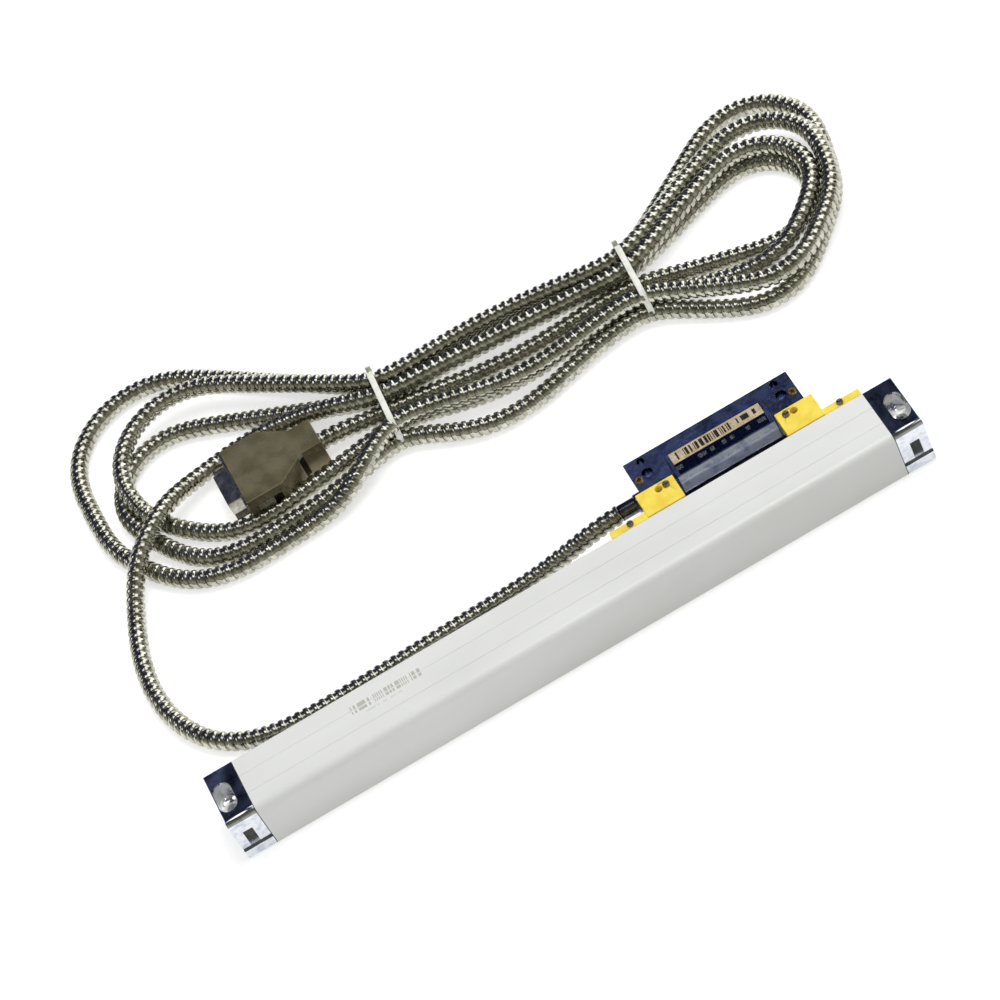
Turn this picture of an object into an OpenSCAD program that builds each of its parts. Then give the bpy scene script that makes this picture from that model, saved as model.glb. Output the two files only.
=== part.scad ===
// Enclosed linear glass scale with an armoured cable.
// Frame: +X along the scale, +Y towards the reader head, +Z away from the machine face.
// The origin is the middle of the housing's flat mounting face.

/* [Scale housing] */
// Measuring travel of the reader head
travel = 170; // [150:5:240]
// Length of extrusion beyond the measuring travel
rail_runout = 100; // [96:1:140]
// Width of the extrusion, front to back
rail_w = 26; // [26:0.5:29]
// Height of the extrusion above the machine face
rail_h = 24.5; // [24.5:0.5:28]
// Wall of the extrusion
wall_t = 2.2; // [2:0.1:2.4]
// Radius of the long top front edge
ridge_r = 3; // [2:0.25:3.5]
// Radius of the two long back edges
edge_r = 0.8; // [0.4:0.1:1.2]
// Chamfer along the bottom front edge
toe_chamfer = 1.5; // [0.8:0.1:1.8]
// Width of the two fine lines along the top face
line_w = 0.6; // [0.3:0.1:1]
// Depth of the two fine lines
line_d = 0.15; // [0.1:0.05:0.4]
// Height of the slot that the reader blade passes through
slot_h = 6; // [5.4:0.2:6.6]
// Height of the middle of the slot above the machine face
slot_z = 12; // [11.8:0.1:12.4]

/* [End caps] */
// Length of each cast end cap
cap_l = 12; // [11.6:0.1:14]
// Thickness of the rubber seal under each cap
gasket_t = 0.3; // [0.3:0.1:1]
// Radius of each mounting hole
mount_hole_r = 2.25; // [2:0.05:2.75]
// Distance of each mounting hole from the outer end
mount_inset = 4.3; // [4.3:0.1:5]
// Radius of the ends of the oblong counterbore over each mounting hole
counterbore_r = 3.7; // [3.5:0.1:3.8]
// Distance between the middles of those two ends, across the cap
counterbore_run = 6.4; // [4:0.2:6.6]
// Depth of that counterbore
counterbore_d = 8; // [5:0.5:12]
// Chamfer round the outer end of a cap
cap_chamfer = 0.3; // [0.2:0.1:0.4]
// Height of the shallow channel across the front of a cap
channel_h = 15; // [14:0.5:16]
// Depth of that channel
channel_d = 0.8; // [0.4:0.1:1]
// Width of the square pocket in the channel
pocket_w = 4; // [3:0.1:4.4]
// Height of the square pocket
pocket_h = 9; // [7:0.5:9.5]
// Depth of the square pocket below the channel floor
pocket_d = 4; // [2:0.5:4.5]

/* [Cap screws] */
// Radius of a cap screw's thread
cap_screw_r = 1.25; // [1:0.05:1.25]
// Radius of a cap screw's head
cap_head_r = 2.2; // [1.9:0.05:2.3]
// Height of a cap screw's head
cap_head_h = 1.8; // [1.4:0.1:2]
// Length of thread in the extrusion
cap_screw_grip = 8; // [6:0.5:10]
// Distance of a screw port's axis from the outer faces
port_inset = 4.1; // [4:0.05:4.2]
// Radius of the metal round a screw port
port_boss_r = 2.4; // [2.2:0.05:2.5]

/* [Glass and seals] */
// Thickness of the glass scale
glass_t = 3.5; // [3.2:0.1:3.6]
// Height of the glass scale
glass_h = 15.3; // [15:0.1:15.5]
// Bare length of extrusion past each end of the glass
glass_end_gap = 4; // [2:0.5:6]
// Thickness of the rubber strip that wedges the glass
wedge_t = 1.2; // [1:0.05:1.3]
// Thickness of each rib beside the glass
rib_t = 1.4; // [1:0.1:1.4]
// Height of each rib above the floor of the extrusion
rib_h = 3; // [2.4:0.1:3.2]
// Thickness of a lip seal's root
seal_root_t = 1; // [0.8:0.05:1.2]
// Depth of a lip seal's root in its groove
seal_root_d = 2; // [1.4:0.1:2.2]
// Thickness of a lip seal at its edge
seal_lip_t = 0.5; // [0.3:0.05:0.7]

/* [Reader head] */
// Distance of the resting reader from the end of its travel
rest_from_end = 3.5; // [2:0.5:6]
// Length of the reader head
reader_l = 71; // [71:1:80]
// Width of the reader head
reader_w = 26.2; // [26:0.2:30]
// Height of the reader head's underside above the machine face
reader_z = 4; // [3:0.25:4.5]
// Height of the reader head's end plates above its underside
reader_h = 16; // [15:0.25:16]
// Gap between the housing and the reader head
reader_gap = 5; // [4.6:0.1:5.4]
// Length of the raised middle block
block_l = 41.6; // [36:0.2:42]
// Height of the raised middle block
block_h = 5.5; // [4:0.25:6]
// Slope of the block's front face, measured along Y
block_slope = 3.2; // [2:0.2:4]
// Width of the block's flat top
block_top_w = 12.5; // [11:0.5:14]
// Thickness of the label plate
label_t = 0.3; // [0.2:0.05:0.5]
// Radius of the reader head's mounting holes
reader_hole_r = 2.25; // [2:0.05:2.3]
// Distance between those two holes
reader_hole_pitch = 58; // [57:0.5:59]
// Radius of the two small tapped holes
tapped_r = 1.65; // [1.25:0.05:1.75]
// Radius of a levelling screw
level_screw_r = 1.5; // [1.3:0.05:1.5]
// Radius of the hexagon socket in a levelling screw
level_socket_r = 0.9; // [0.6:0.05:1]
// Thickness of the reader's bottom cover
cover_t = 1.5; // [1.2:0.1:1.8]
// Thickness of the seal under the cover
cover_seal_t = 0.5; // [0.3:0.1:0.8]
// Radius of a cover screw
cover_screw_r = 0.8; // [0.6:0.05:0.9]
// Thickness of the circuit board in the head
board_t = 1.2; // [1:0.1:1.6]

/* [Transport brackets] */
// Length of a bracket's spacer block
bracket_l = 16; // [15:0.1:20]
// Height of a bracket above the end plate
bracket_t = 4.3; // [3.5:0.1:4.4]
// Length of a bracket's tab
tab_l = 15.5; // [12:0.5:16]
// Width of a bracket's tab
tab_w = 3.2; // [3:0.1:4]
// Thickness of a bracket's tab
tab_t = 3.2; // [2.5:0.1:3.4]
// Width of the bracket on the end plate
bracket_seat_w = 7.2; // [6.8:0.2:8]
// Radius of a bracket screw
bracket_screw_r = 1; // [0.8:0.05:1.1]
// Radius of a bracket screw's head
bracket_head_r = 1.4; // [1.3:0.05:1.6]

/* [Carriage] */
// Outer radius of a guide bearing
bearing_r = 2; // [1.9:0.02:2.04]
// Width of a guide bearing
bearing_w = 2; // [1.8:0.05:2.1]
// Radius of a bearing pin
pin_r = 0.75; // [0.6:0.05:0.8]
// Thickness of the carriage plate
plate_t = 3; // [2.4:0.1:3]
// Half length of the carriage plate
plate_half_l = 22; // [20:0.5:24]
// Thickness of the coupling blade
blade_t = 1.2; // [1:0.05:1.2]
// Length of the coupling blade along X
blade_l = 24; // [20:1:30]
// Thickness of the index glass
index_t = 1.2; // [1:0.1:1.4]
// Thickness of the coupling spring
spring_t = 0.3; // [0.2:0.05:0.4]

/* [Cable] */
// Outer diameter of the armoured hose
hose_d = 7.4; // [7:0.1:7.6]
// Radius of the cable gland
gland_r = 3.2; // [2.8:0.1:3.6]
// Length of the gland outside the head
gland_l = 10; // [8:0.5:12]
// Width of a nylon tie
tie_w = 2.5; // [2:0.1:3.6]
// Thickness of a nylon tie
tie_t = 1.2; // [1:0.1:1.4]

/* [Connector] */
// Width of the connector over its flange
flange_w = 30.8; // [30.8:0.2:32]
// Height of the connector flange
flange_h = 12.5; // [12:0.1:13]
// Length of the connector hood
hood_l = 38; // [36:0.5:44]
// Height of the connector hood
hood_h = 15; // [14.2:0.2:16]
// Radius of a jack screw's thread
jack_r = 1.4; // [1.2:0.05:1.5]
// Radius of a jack screw's knurled head
jack_head_r = 3; // [2.6:0.1:3.1]

/* [Hidden] */
$fn = 48;

// Small clearances
fit = 0.05;           // pin in a turning part, head in a recess
press = 0.01;         // screw or pin held in its hole
roll_gap = 0.05;      // bearing to glass
slide_gap = 0.4;      // reader parts to the outside of the housing
seal_gap = 0.1;       // lip seal to the coupling blade
read_gap = 0.15;      // index glass to the scale
over = 1;             // how far a cut runs past a face

// Housing
rail_l = travel + rail_runout;
half_l = rail_l / 2;
half_w = rail_w / 2;
cap_x = half_l + gasket_t;
total_l = 2 * (cap_x + cap_l);
mount_pitch = total_l - 2 * mount_inset;
mount_y = -0.5;
port_front = [-half_w + port_inset - 0.4, port_inset + 0.6];
port_back = [half_w - port_inset + 0.4, rail_h - port_inset - 0.6];
ports = [port_front, port_back];
line_y = rail_w / 6;

// Glass, read on the face towards the reader
glass_l = rail_l - 2 * glass_end_gap;
glass_face_y = -2;
glass_back_y = glass_face_y - glass_t;
glass_mid_y = glass_face_y - glass_t / 2;
glass_top_z = wall_t + glass_h;
read_z = 9;

// Lip seals stand in grooves in the slot's edges
seal_y = half_w - wall_t / 2;
slot_low_z = slot_z - slot_h / 2;
slot_high_z = slot_z + slot_h / 2;
lip_z = blade_t / 2 + seal_gap;

// Reader head
reader_x = travel / 2 - rest_from_end;
reader_y = half_w + reader_gap;
reader_back_y = reader_y + reader_w;
plate_z = reader_z + reader_h;
block_z = plate_z + block_h;
block_foot_y = reader_y + 0.2;
block_ridge_y = block_foot_y + block_slope;
cavity_half_l = 20;
cavity_wall = 4;
shelf = 2;
cover_lap = 3.8;
cover_half_l = cavity_half_l + shelf + cover_lap;
cavity_roof = 2.5;
board_z = reader_z + cover_t + cover_seal_t + shelf;
hole_inset = 17.5;
hole_y = reader_y + hole_inset;
tapped_inset = 2.4;
tapped_y = reader_back_y - tapped_inset;
level_x = reader_l / 2 - 2.3;
level_inset = 16;
level_y = reader_y + level_inset;
cover_screw_x = cover_half_l - 1.8;
cover_screw_inset = 3.1;
cover_screw_ys = [reader_y + cover_screw_inset, reader_back_y - cover_screw_inset];
blade_socket = 2.5;

// Transport brackets
bracket_x = block_l / 2 + 1.2;
bracket_y = half_w + slide_gap;
bracket_top_z = plate_z + bracket_t;
bracket_leg_z = 8;
bracket_leg_inset = 2;
bracket_screw_x = bracket_x + 3.8;
bracket_hole_x = bracket_x + 7.1;
bracket_hole_r = 1.5;
bracket_screw_y = reader_y + 4.3;
bracket_grip = 5;
tab_x = bracket_x + bracket_l;
tab_top_z = bracket_top_z - 0.6;
tab_screw_x = tab_x + 7;
screw_head_h = 0.9;
screw_slot_w = 0.5;

// Carriage, carried on the glass by five bearings
bearing_bore_r = pin_r + fit;
face_bearing_y = glass_face_y + roll_gap + bearing_r;
edge_bearing_z = glass_top_z + roll_gap + bearing_r;
plate_y = face_bearing_y + bearing_r + 0.55;
plate_back_y = plate_y + plate_t;
low_bearing_z = 8.5;
high_bearing_z = 15;
face_bearing_x = 17;
edge_bearing_x = 10.5;
lug_t = 1.2;
lug_gap = 0.2;
lug_w = 3;
carriage_low_z = 6;
carriage_top_z = edge_bearing_z + pin_r + 0.6;
bridge_half_l = 6;
bridge_t = 2.6;
bridge_z = carriage_top_z - bridge_t;
arm_y = -half_w + wall_t + 1;
arm_t = 2.2;
arm_low_z = 7.5;
lamp_board_t = 1;
post_x = 4.5;
post_w = 1.5;
post_h = 5;
blade_y = plate_back_y + 2.8;
blade_head_y = 2;
blade_head_l = 6;
pin_reach = 2;
link_pin_r = 1;
spring_half_l = 16;
spring_z = slot_z + 2;
spring_h = 2;

// Gland and hose: the route's points, chosen by hand, lie on the middle of the hose
hose_r = hose_d / 2;
gland_inset = 11.2;
gland_y = reader_y + gland_inset;
gland_z = 14.6;
gland_bore_r = 2.5;
lead_route = [
    [36, 29.2, 14.6], [30, 29.2, 14.2], [22, 29.4, 12.6], [12, 30, 9.4], [2, 30.6, 6.2],
    [-8, 31, 4.4], [-20, 31, 3.8], [-46, 30.2, 3.8], [-72, 29.2, 3.8], [-98, 28.8, 3.8],
    [-109, 29.2, 3.8], [-118.4, 30.4, 3.8], [-126.4, 32.6, 3.8], [-134, 37, 3.8],
    [-141.2, 44, 3.8], [-147, 54.4, 3.8], [-150.6, 67, 3.8], [-151.6, 80, 3.8],
    [-150.4, 93, 3.8], [-147.8, 104.8, 3.8], [-144.6, 114.6, 3.8]
];
lead_sides = 12;

// Hank: two ties on a straight run, with an open loop at each end
tie_left = [-19, 141];
tie_right = [90.5, 133];
tie_head = [5, 4, 4.4];
tie_tail_l = 5;
hank_w = 5 * hose_d;
hank_h = tie_t + hose_d * (1 + sqrt(3) / 2);
hank_fn = 32;
turn_cover = hose_r + 0.8;
stub_w = hose_d + 0.8;
run_l = norm(tie_right - tie_left);
run_dir = (tie_right - tie_left) / run_l;
run_angle = atan2(run_dir[1], run_dir[0]);

// Turns of the hose: distance from a tie along the run, distance across it, radius
right_turns = [[67.2, 35.5, 26.3], [63, 9, 26], [45, -13.8, 25]];
left_turns = [[89.5, 38, 36.3], [92, 10.5, 31.5], [77, 1, 38.5], [38, -6, 27]];
lobe_root = [10, 0, hank_w / 2 - 1.5];
bulge = [[18, -18.5, 13], [38, -21.6, 14], [68, -14, 13], [50, 9, 14]];

// Openings between the turns
right_opening = [[56.5, 9.1, 16.5], [12.8, 3.6, 1.8]];
left_opening = [[91, 25, 11.5], [76, 27.6, 7.5], [62, 26, 3]];
crescent = [[113, 43, 6], [105.5, 54, 7], [88, 63, 4.6]];

// The hose rises from the end of the lead onto the left loop
rise = [[-138, 128], [-130, 138]];

// Connector, lying inside the left loop with its cable end towards the ties
connector_x = -48;
connector_y = 143;
connector_z = hood_h / 2;
hood_wall = 2;
flange_x = connector_x - hood_l;
flange_t = 1;
shell_w = 17;
shell_h = 8.4;
shell_l = 6;
shell_wall = 0.5;
nose_w = 14;
nose_l = 9;
ear_l = 9;
jack_y = 12.5;
jack_slot_l = 11;
jack_head_l = 7;
jack_reach = 5.4;
contact_pitch = 2.76;
contact_row = 2.84;
contact_r = 0.5;

// ---- shared shapes ----

// Extrudes a Y-Z outline along X
module along_x(x0, l) {
    translate([x0, 0, 0]) rotate([90, 0, 90]) linear_extrude(l) children();
}

// Cylinder along X, starting at x0
module rod_x(x0, l, r, y, z) {
    translate([x0, y, z]) rotate([0, 90, 0]) cylinder(h = l, r = r);
}

// Cylinder along Y, starting at y0
module rod_y(x, y0, l, r, z) {
    translate([x, y0, z]) rotate([-90, 0, 0]) cylinder(h = l, r = r);
}

// Cylinder along Z, starting at z0
module rod_z(x, y, z0, l, r) {
    translate([x, y, z0]) cylinder(h = l, r = r);
}

// What a round of radius r takes off the corner at the origin of a first-quadrant square
module corner_waste(r) {
    difference() {
        square(r);
        translate([r, r]) circle(r);
    }
}

// Left and right copies about the reader's middle
module both_sides() {
    for (side = [-1, 1]) translate([reader_x, 0, 0]) scale_x(side) children();
}

module scale_x(side) {
    if (side < 0) mirror([1, 0, 0]) children();
    else children();
}

// ---- scale housing ----

module rail_outline() {
    difference() {
        translate([-half_w, 0]) square([rail_w, rail_h]);
        translate([-half_w, rail_h]) mirror([0, 1]) corner_waste(ridge_r);
        translate([half_w, rail_h]) mirror([1, 0]) mirror([0, 1]) corner_waste(edge_r);
        translate([half_w, 0]) mirror([1, 0]) corner_waste(edge_r);
        polygon([[-half_w, 0], [-half_w + toe_chamfer, 0], [-half_w, toe_chamfer]]);
    }
}

module rail_ribs() {
    translate([glass_face_y, 0]) square([rib_t, wall_t + rib_h]);
    translate([glass_back_y - wedge_t - rib_t, 0]) square([rib_t, wall_t + rib_h]);
    intersection() {
        rail_outline();
        for (p = ports) translate(p) circle(port_boss_r);
    }
}

module housing_extrusion() {
    color("gainsboro") along_x(-half_l, rail_l) difference() {
        union() {
            difference() {
                rail_outline();
                translate([-half_w + wall_t, wall_t]) square([rail_w - 2 * wall_t, rail_h - 2 * wall_t]);
            }
            rail_ribs();
        }
        translate([half_w - wall_t - over, slot_low_z]) square([wall_t + 2 * over, slot_h]);
        translate([seal_y - seal_root_t / 2, slot_low_z - seal_root_d])
            square([seal_root_t, slot_h + 2 * seal_root_d]);
        for (p = ports) translate(p) circle(cap_screw_r + press);
        for (y = [-line_y, line_y])
            translate([y - line_w / 2, rail_h - line_d]) square([line_w, line_d + over]);
    }
}

// Right-hand cap, with its inner face at x = 0
module end_cap() {
    hole_x = cap_l - mount_inset;
    channel_z = rail_h * 0.55 - channel_h / 2;
    difference() {
        along_x(0, cap_l) rail_outline();
        rod_z(hole_x, mount_y, -over, rail_h + 2 * over, mount_hole_r);
        hull() for (y = [mount_y - counterbore_run / 2, mount_y + counterbore_run / 2])
            rod_z(hole_x, y, rail_h - counterbore_d, counterbore_d + over, counterbore_r);
        translate([-over, -half_w - over, channel_z]) cube([cap_l + 2 * over, over + channel_d, channel_h]);
        translate([hole_x - pocket_w / 2 - 1.2, -half_w, channel_z + 1])
            cube([pocket_w, channel_d + pocket_d, pocket_h]);
        for (p = ports) {
            rod_x(-over, cap_l + 2 * over, cap_screw_r + fit, p[0], p[1]);
            rod_x(cap_l - cap_head_h - 0.4, cap_head_h + over, cap_head_r + fit, p[0], p[1]);
        }
        translate([cap_l, 0, rail_h]) rotate([0, 45, 0])
            cube([cap_chamfer * sqrt(2), rail_w + 2 * over, cap_chamfer * sqrt(2)], center = true);
        for (y = [-half_w, half_w]) translate([cap_l, y, rail_h / 2]) rotate([0, 0, 45])
            cube([cap_chamfer * sqrt(2), cap_chamfer * sqrt(2), rail_h + 2 * over], center = true);
    }
}

module end_cap_right() {
    color("silver") translate([cap_x, 0, 0]) end_cap();
}

module end_cap_left() {
    color("silver") mirror([1, 0, 0]) translate([cap_x, 0, 0]) end_cap();
}

module end_seal() {
    color("dimgray") along_x(half_l, gasket_t) difference() {
        rail_outline();
        for (p = ports) translate(p) circle(cap_screw_r + fit);
    }
}

module end_seal_right() { end_seal(); }

module end_seal_left() { mirror([1, 0, 0]) end_seal(); }

module cap_screws() {
    head_x = cap_x + cap_l - cap_head_h - 0.4;
    color("lightsteelblue") for (side = [-1, 1]) scale_x(side) for (p = ports) difference() {
        union() {
            rod_x(half_l - cap_screw_grip, head_x - half_l + cap_screw_grip, cap_screw_r, p[0], p[1]);
            rod_x(head_x, cap_head_h, cap_head_r, p[0], p[1]);
        }
        translate([head_x + cap_head_h - 1, p[0], p[1]]) rotate([0, 90, 0])
            cylinder(h = 1 + over, r = cap_screw_r, $fn = 6);
    }
}

module glass_scale() {
    color("lightcyan") translate([-glass_l / 2, glass_back_y, wall_t]) cube([glass_l, glass_t, glass_h]);
}

module glass_wedge() {
    color("black") translate([-glass_l / 2, glass_back_y - wedge_t, wall_t])
        cube([glass_l, wedge_t, rib_h]);
}

// A lip seal's section: root in the groove, lip leaning inwards over half the slot
module seal_outline() {
    half_slot = slot_h / 2;
    translate([seal_y - seal_root_t / 2, half_slot]) square([seal_root_t, seal_root_d]);
    polygon([
        [seal_y + seal_root_t / 2, half_slot], [seal_y - seal_root_t / 2, half_slot],
        [seal_y - seal_root_t / 2 - 0.4, lip_z], [seal_y - seal_root_t / 2 - 0.4 + seal_lip_t, lip_z]
    ]);
}

module lip_seal_upper() {
    color("black") along_x(-half_l, rail_l) translate([0, slot_z]) seal_outline();
}

module lip_seal_lower() {
    color("black") along_x(-half_l, rail_l) translate([0, slot_z]) mirror([0, 1]) seal_outline();
}

// ---- reader head ----

module block_outline() {
    polygon([
        [block_foot_y, plate_z - over], [block_foot_y, plate_z], [block_ridge_y, block_z],
        [block_ridge_y + block_top_w, block_z], [block_ridge_y + block_top_w + 1.4, plate_z - over]
    ]);
}

module cover_plan(inset) {
    translate([-cover_half_l + inset, reader_y + 1.2 + inset])
        square([2 * (cover_half_l - inset), reader_w - 2.4 - 2 * inset]);
}

module reader_housing() {
    cover_z = reader_z + cover_t + cover_seal_t;
    color("silver") translate([reader_x, 0, 0]) difference() {
        union() {
            translate([-reader_l / 2, reader_y, reader_z]) cube([reader_l, reader_w, reader_h]);
            along_x(-block_l / 2, block_l) block_outline();
        }
        translate([0, 0, reader_z - over]) linear_extrude(cover_z - reader_z + over) cover_plan(0);
        translate([-cavity_half_l - shelf, reader_y + cavity_wall, reader_z])
            cube([2 * (cavity_half_l + shelf), reader_w - 2 * cavity_wall, board_z + board_t - reader_z]);
        translate([-cavity_half_l, reader_y + cavity_wall + 1, reader_z])
            cube([2 * cavity_half_l, reader_w - 2 * cavity_wall - 2, reader_h - cavity_roof]);
        translate([-blade_l / 2, reader_y - over, slot_z - blade_t / 2])
            cube([blade_l, blade_socket + over, blade_t]);
        rod_x(-reader_l / 2 - over, reader_l / 2 + over - cavity_half_l + over, gland_bore_r, gland_y, gland_z);
        for (side = [-1, 1]) {
            rod_z(side * reader_hole_pitch / 2, hole_y, reader_z - over, reader_h + 2 * over, reader_hole_r);
            rod_z(side * reader_hole_pitch / 2, tapped_y, reader_z - over, reader_h + 2 * over, tapped_r);
            rod_z(side * level_x, level_y, reader_z - over, reader_h + 2 * over, level_screw_r + press);
            rod_z(side * bracket_screw_x, bracket_screw_y, plate_z - bracket_grip, bracket_grip + over,
                bracket_screw_r + press);
            for (y = cover_screw_ys)
                rod_z(side * cover_screw_x, y, cover_z - over, 4 + over, cover_screw_r + press);
        }
    }
}

module reader_cover() {
    color("lightgray") translate([reader_x, 0, reader_z]) difference() {
        linear_extrude(cover_t) cover_plan(fit);
        for (side = [-1, 1]) for (y = cover_screw_ys) {
            rod_z(side * cover_screw_x, y, -over, cover_t + 2 * over, cover_screw_r + fit);
            rod_z(side * cover_screw_x, y, -over, screw_head_h + over, 2 * cover_screw_r + fit);
        }
    }
}

module cover_seal() {
    color("black") translate([reader_x, 0, reader_z + cover_t]) linear_extrude(cover_seal_t) difference() {
        cover_plan(fit);
        translate([-cavity_half_l - shelf, reader_y + cavity_wall])
            square([2 * (cavity_half_l + shelf), reader_w - 2 * cavity_wall]);
        for (side = [-1, 1]) for (y = cover_screw_ys)
            translate([side * cover_screw_x, y]) circle(cover_screw_r + fit);
    }
}

module cover_screws() {
    color("gray") both_sides() for (y = cover_screw_ys) {
        rod_z(cover_screw_x, y, reader_z + screw_head_h / 2, cover_t + cover_seal_t + 3.5 - screw_head_h / 2,
            cover_screw_r);
        difference() {
            rod_z(cover_screw_x, y, reader_z, screw_head_h, 2 * cover_screw_r);
            translate([cover_screw_x - 2 * cover_screw_r, y - screw_slot_w / 2, reader_z - over])
                cube([4 * cover_screw_r, screw_slot_w, screw_head_h / 2 + over]);
        }
    }
}

module signal_board() {
    board_half_l = cavity_half_l + shelf - fit;
    board_y = reader_y + cavity_wall + fit;
    board_w = reader_w - 2 * cavity_wall - 2 * fit;
    color("darkgreen") translate([reader_x, 0, board_z]) {
        translate([-board_half_l, board_y, 0]) cube([2 * board_half_l, board_w, board_t]);
        for (x = [-12, 0, 12]) translate([x - 3, board_y + board_w / 2 - 2, board_t]) cube([6, 4, 1.4]);
    }
}

module label_plate() {
    margin = 0.9;
    color("wheat") translate([reader_x - block_l / 2 + 1.4, block_ridge_y + margin, block_z])
        cube([block_l - 2.8, block_top_w - 2 * margin, label_t]);
}

module levelling_screws() {
    color("goldenrod") both_sides() difference() {
        rod_z(level_x, level_y, reader_z + 0.5, reader_h, level_screw_r);
        translate([level_x, level_y, plate_z - 1.2]) cylinder(h = 2 + over, r = level_socket_r, $fn = 6);
    }
}

// ---- coupling and carriage ----

module coupling_blade() {
    color("lightsteelblue") translate([reader_x, 0, slot_z - blade_t / 2]) {
        translate([-blade_l / 2, blade_y, 0]) cube([blade_l, reader_y + blade_socket - blade_y, blade_t]);
        translate([-blade_head_l / 2, blade_y, blade_t]) cube([blade_head_l, blade_head_y, 3.4]);
        translate([-blade_head_l / 2, blade_y, -1]) cube([blade_head_l, blade_head_y, 1]);
    }
}

module coupling_pin() {
    color("silver") rod_y(reader_x, plate_back_y - pin_reach, blade_y - plate_back_y + pin_reach,
        link_pin_r, slot_z);
}

module coupling_spring() {
    rise = blade_y - plate_back_y;
    bow_r = (spring_half_l * spring_half_l + rise * rise) / (2 * rise);
    color("slategray") translate([reader_x, 0, spring_z]) linear_extrude(spring_h) intersection() {
        translate([0, blade_y - bow_r]) difference() {
            circle(bow_r, $fn = 180);
            circle(bow_r - spring_t, $fn = 180);
        }
        translate([-spring_half_l - over, plate_back_y]) square([2 * (spring_half_l + over), rise + over]);
    }
}

module lug_pair(x, z) {
    lug_y = face_bearing_y - lug_w / 2;
    for (low = [z - bearing_w / 2 - lug_gap - lug_t, z + bearing_w / 2 + lug_gap])
        translate([x - lug_w / 2, lug_y, low]) cube([lug_w, plate_y - lug_y, lug_t]);
}

module carriage_frame() {
    arm_h = carriage_top_z - arm_low_z;
    index_back_y = glass_face_y + read_gap + index_t;
    color("darkslategray") translate([reader_x, 0, 0]) difference() {
        union() {
            translate([-plate_half_l, plate_y, carriage_low_z])
                cube([2 * plate_half_l, plate_t, carriage_top_z - carriage_low_z]);
            translate([-bridge_half_l, arm_y, bridge_z])
                cube([2 * bridge_half_l, plate_y - arm_y, bridge_t]);
            translate([-bridge_half_l, arm_y, arm_low_z]) cube([2 * bridge_half_l, arm_t, arm_h]);
            for (side = [-1, 1]) {
                lug_pair(side * face_bearing_x, low_bearing_z);
                translate([side > 0 ? post_x : -post_x - post_w, index_back_y, read_z - post_h / 2])
                    cube([post_w, plate_y - index_back_y, post_h]);
            }
            lug_pair(0, high_bearing_z);
        }
        for (side = [-1, 1]) {
            rod_z(side * face_bearing_x, face_bearing_y, low_bearing_z - 4, 8, pin_r + press);
            rod_y(side * edge_bearing_x, plate_y - over, plate_t + 2 * over, pin_r + press, edge_bearing_z);
        }
        rod_z(0, face_bearing_y, high_bearing_z - 4, 8, pin_r + press);
        rod_y(0, plate_y - over, plate_t + 2 * over, link_pin_r + press, slot_z);
    }
}

module index_glass() {
    color("lightcyan") translate([reader_x - post_x - post_w, glass_face_y + read_gap, read_z - post_h / 2])
        cube([2 * (post_x + post_w), index_t, post_h]);
}

module photodiode_board() {
    color("darkgreen") translate([reader_x - post_x + 0.2, plate_y - board_t, read_z - post_h / 2])
        cube([2 * post_x - 0.4, board_t, post_h - 0.1]);
}

module photodiodes() {
    color("dimgray") for (i = [0:3])
        translate([reader_x - 3.7 + i * 1.9, plate_y - board_t - 0.5, read_z - 1.5]) cube([1.6, 0.5, 3]);
}

module lamp_board() {
    color("darkgreen") translate([reader_x - bridge_half_l + 1, arm_y + arm_t, arm_low_z])
        cube([2 * bridge_half_l - 2, lamp_board_t, 7]);
}

module lamp_led() {
    lamp_y = arm_y + arm_t + lamp_board_t;
    color("lightyellow") rod_y(reader_x, lamp_y, glass_back_y - 0.3 - lamp_y, 1.2, read_z);
}

module bearing_pins() {
    lug_reach = bearing_w / 2 + lug_gap + lug_t;
    edge_pin_y = glass_mid_y - bearing_w / 2 - 0.3;
    color("silver") translate([reader_x, 0, 0]) {
        for (side = [-1, 1]) {
            rod_z(side * face_bearing_x, face_bearing_y, low_bearing_z - lug_reach, 2 * lug_reach, pin_r);
            rod_y(side * edge_bearing_x, edge_pin_y, plate_back_y - edge_pin_y, pin_r, edge_bearing_z);
        }
        rod_z(0, face_bearing_y, high_bearing_z - lug_reach, 2 * lug_reach, pin_r);
    }
}

// A bearing's section turned about Z: outer ring, groove line and bore
module bearing() {
    rotate_extrude() difference() {
        translate([bearing_bore_r, -bearing_w / 2]) square([bearing_r - bearing_bore_r, bearing_w]);
        for (z = [-bearing_w / 2, bearing_w / 2 - 0.15])
            translate([bearing_r - 0.6, z]) square([0.2, 0.15]);
    }
}

module face_bearing(x, z) {
    color("gainsboro") translate([reader_x + x, face_bearing_y, z]) bearing();
}

module edge_bearing(x) {
    color("gainsboro") translate([reader_x + x, glass_mid_y, edge_bearing_z]) rotate([90, 0, 0]) bearing();
}

module face_bearing_left() { face_bearing(-face_bearing_x, low_bearing_z); }
module face_bearing_right() { face_bearing(face_bearing_x, low_bearing_z); }
module face_bearing_middle() { face_bearing(0, high_bearing_z); }
module edge_bearing_left() { edge_bearing(-edge_bearing_x); }
module edge_bearing_right() { edge_bearing(edge_bearing_x); }

// ---- transport brackets ----

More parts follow.
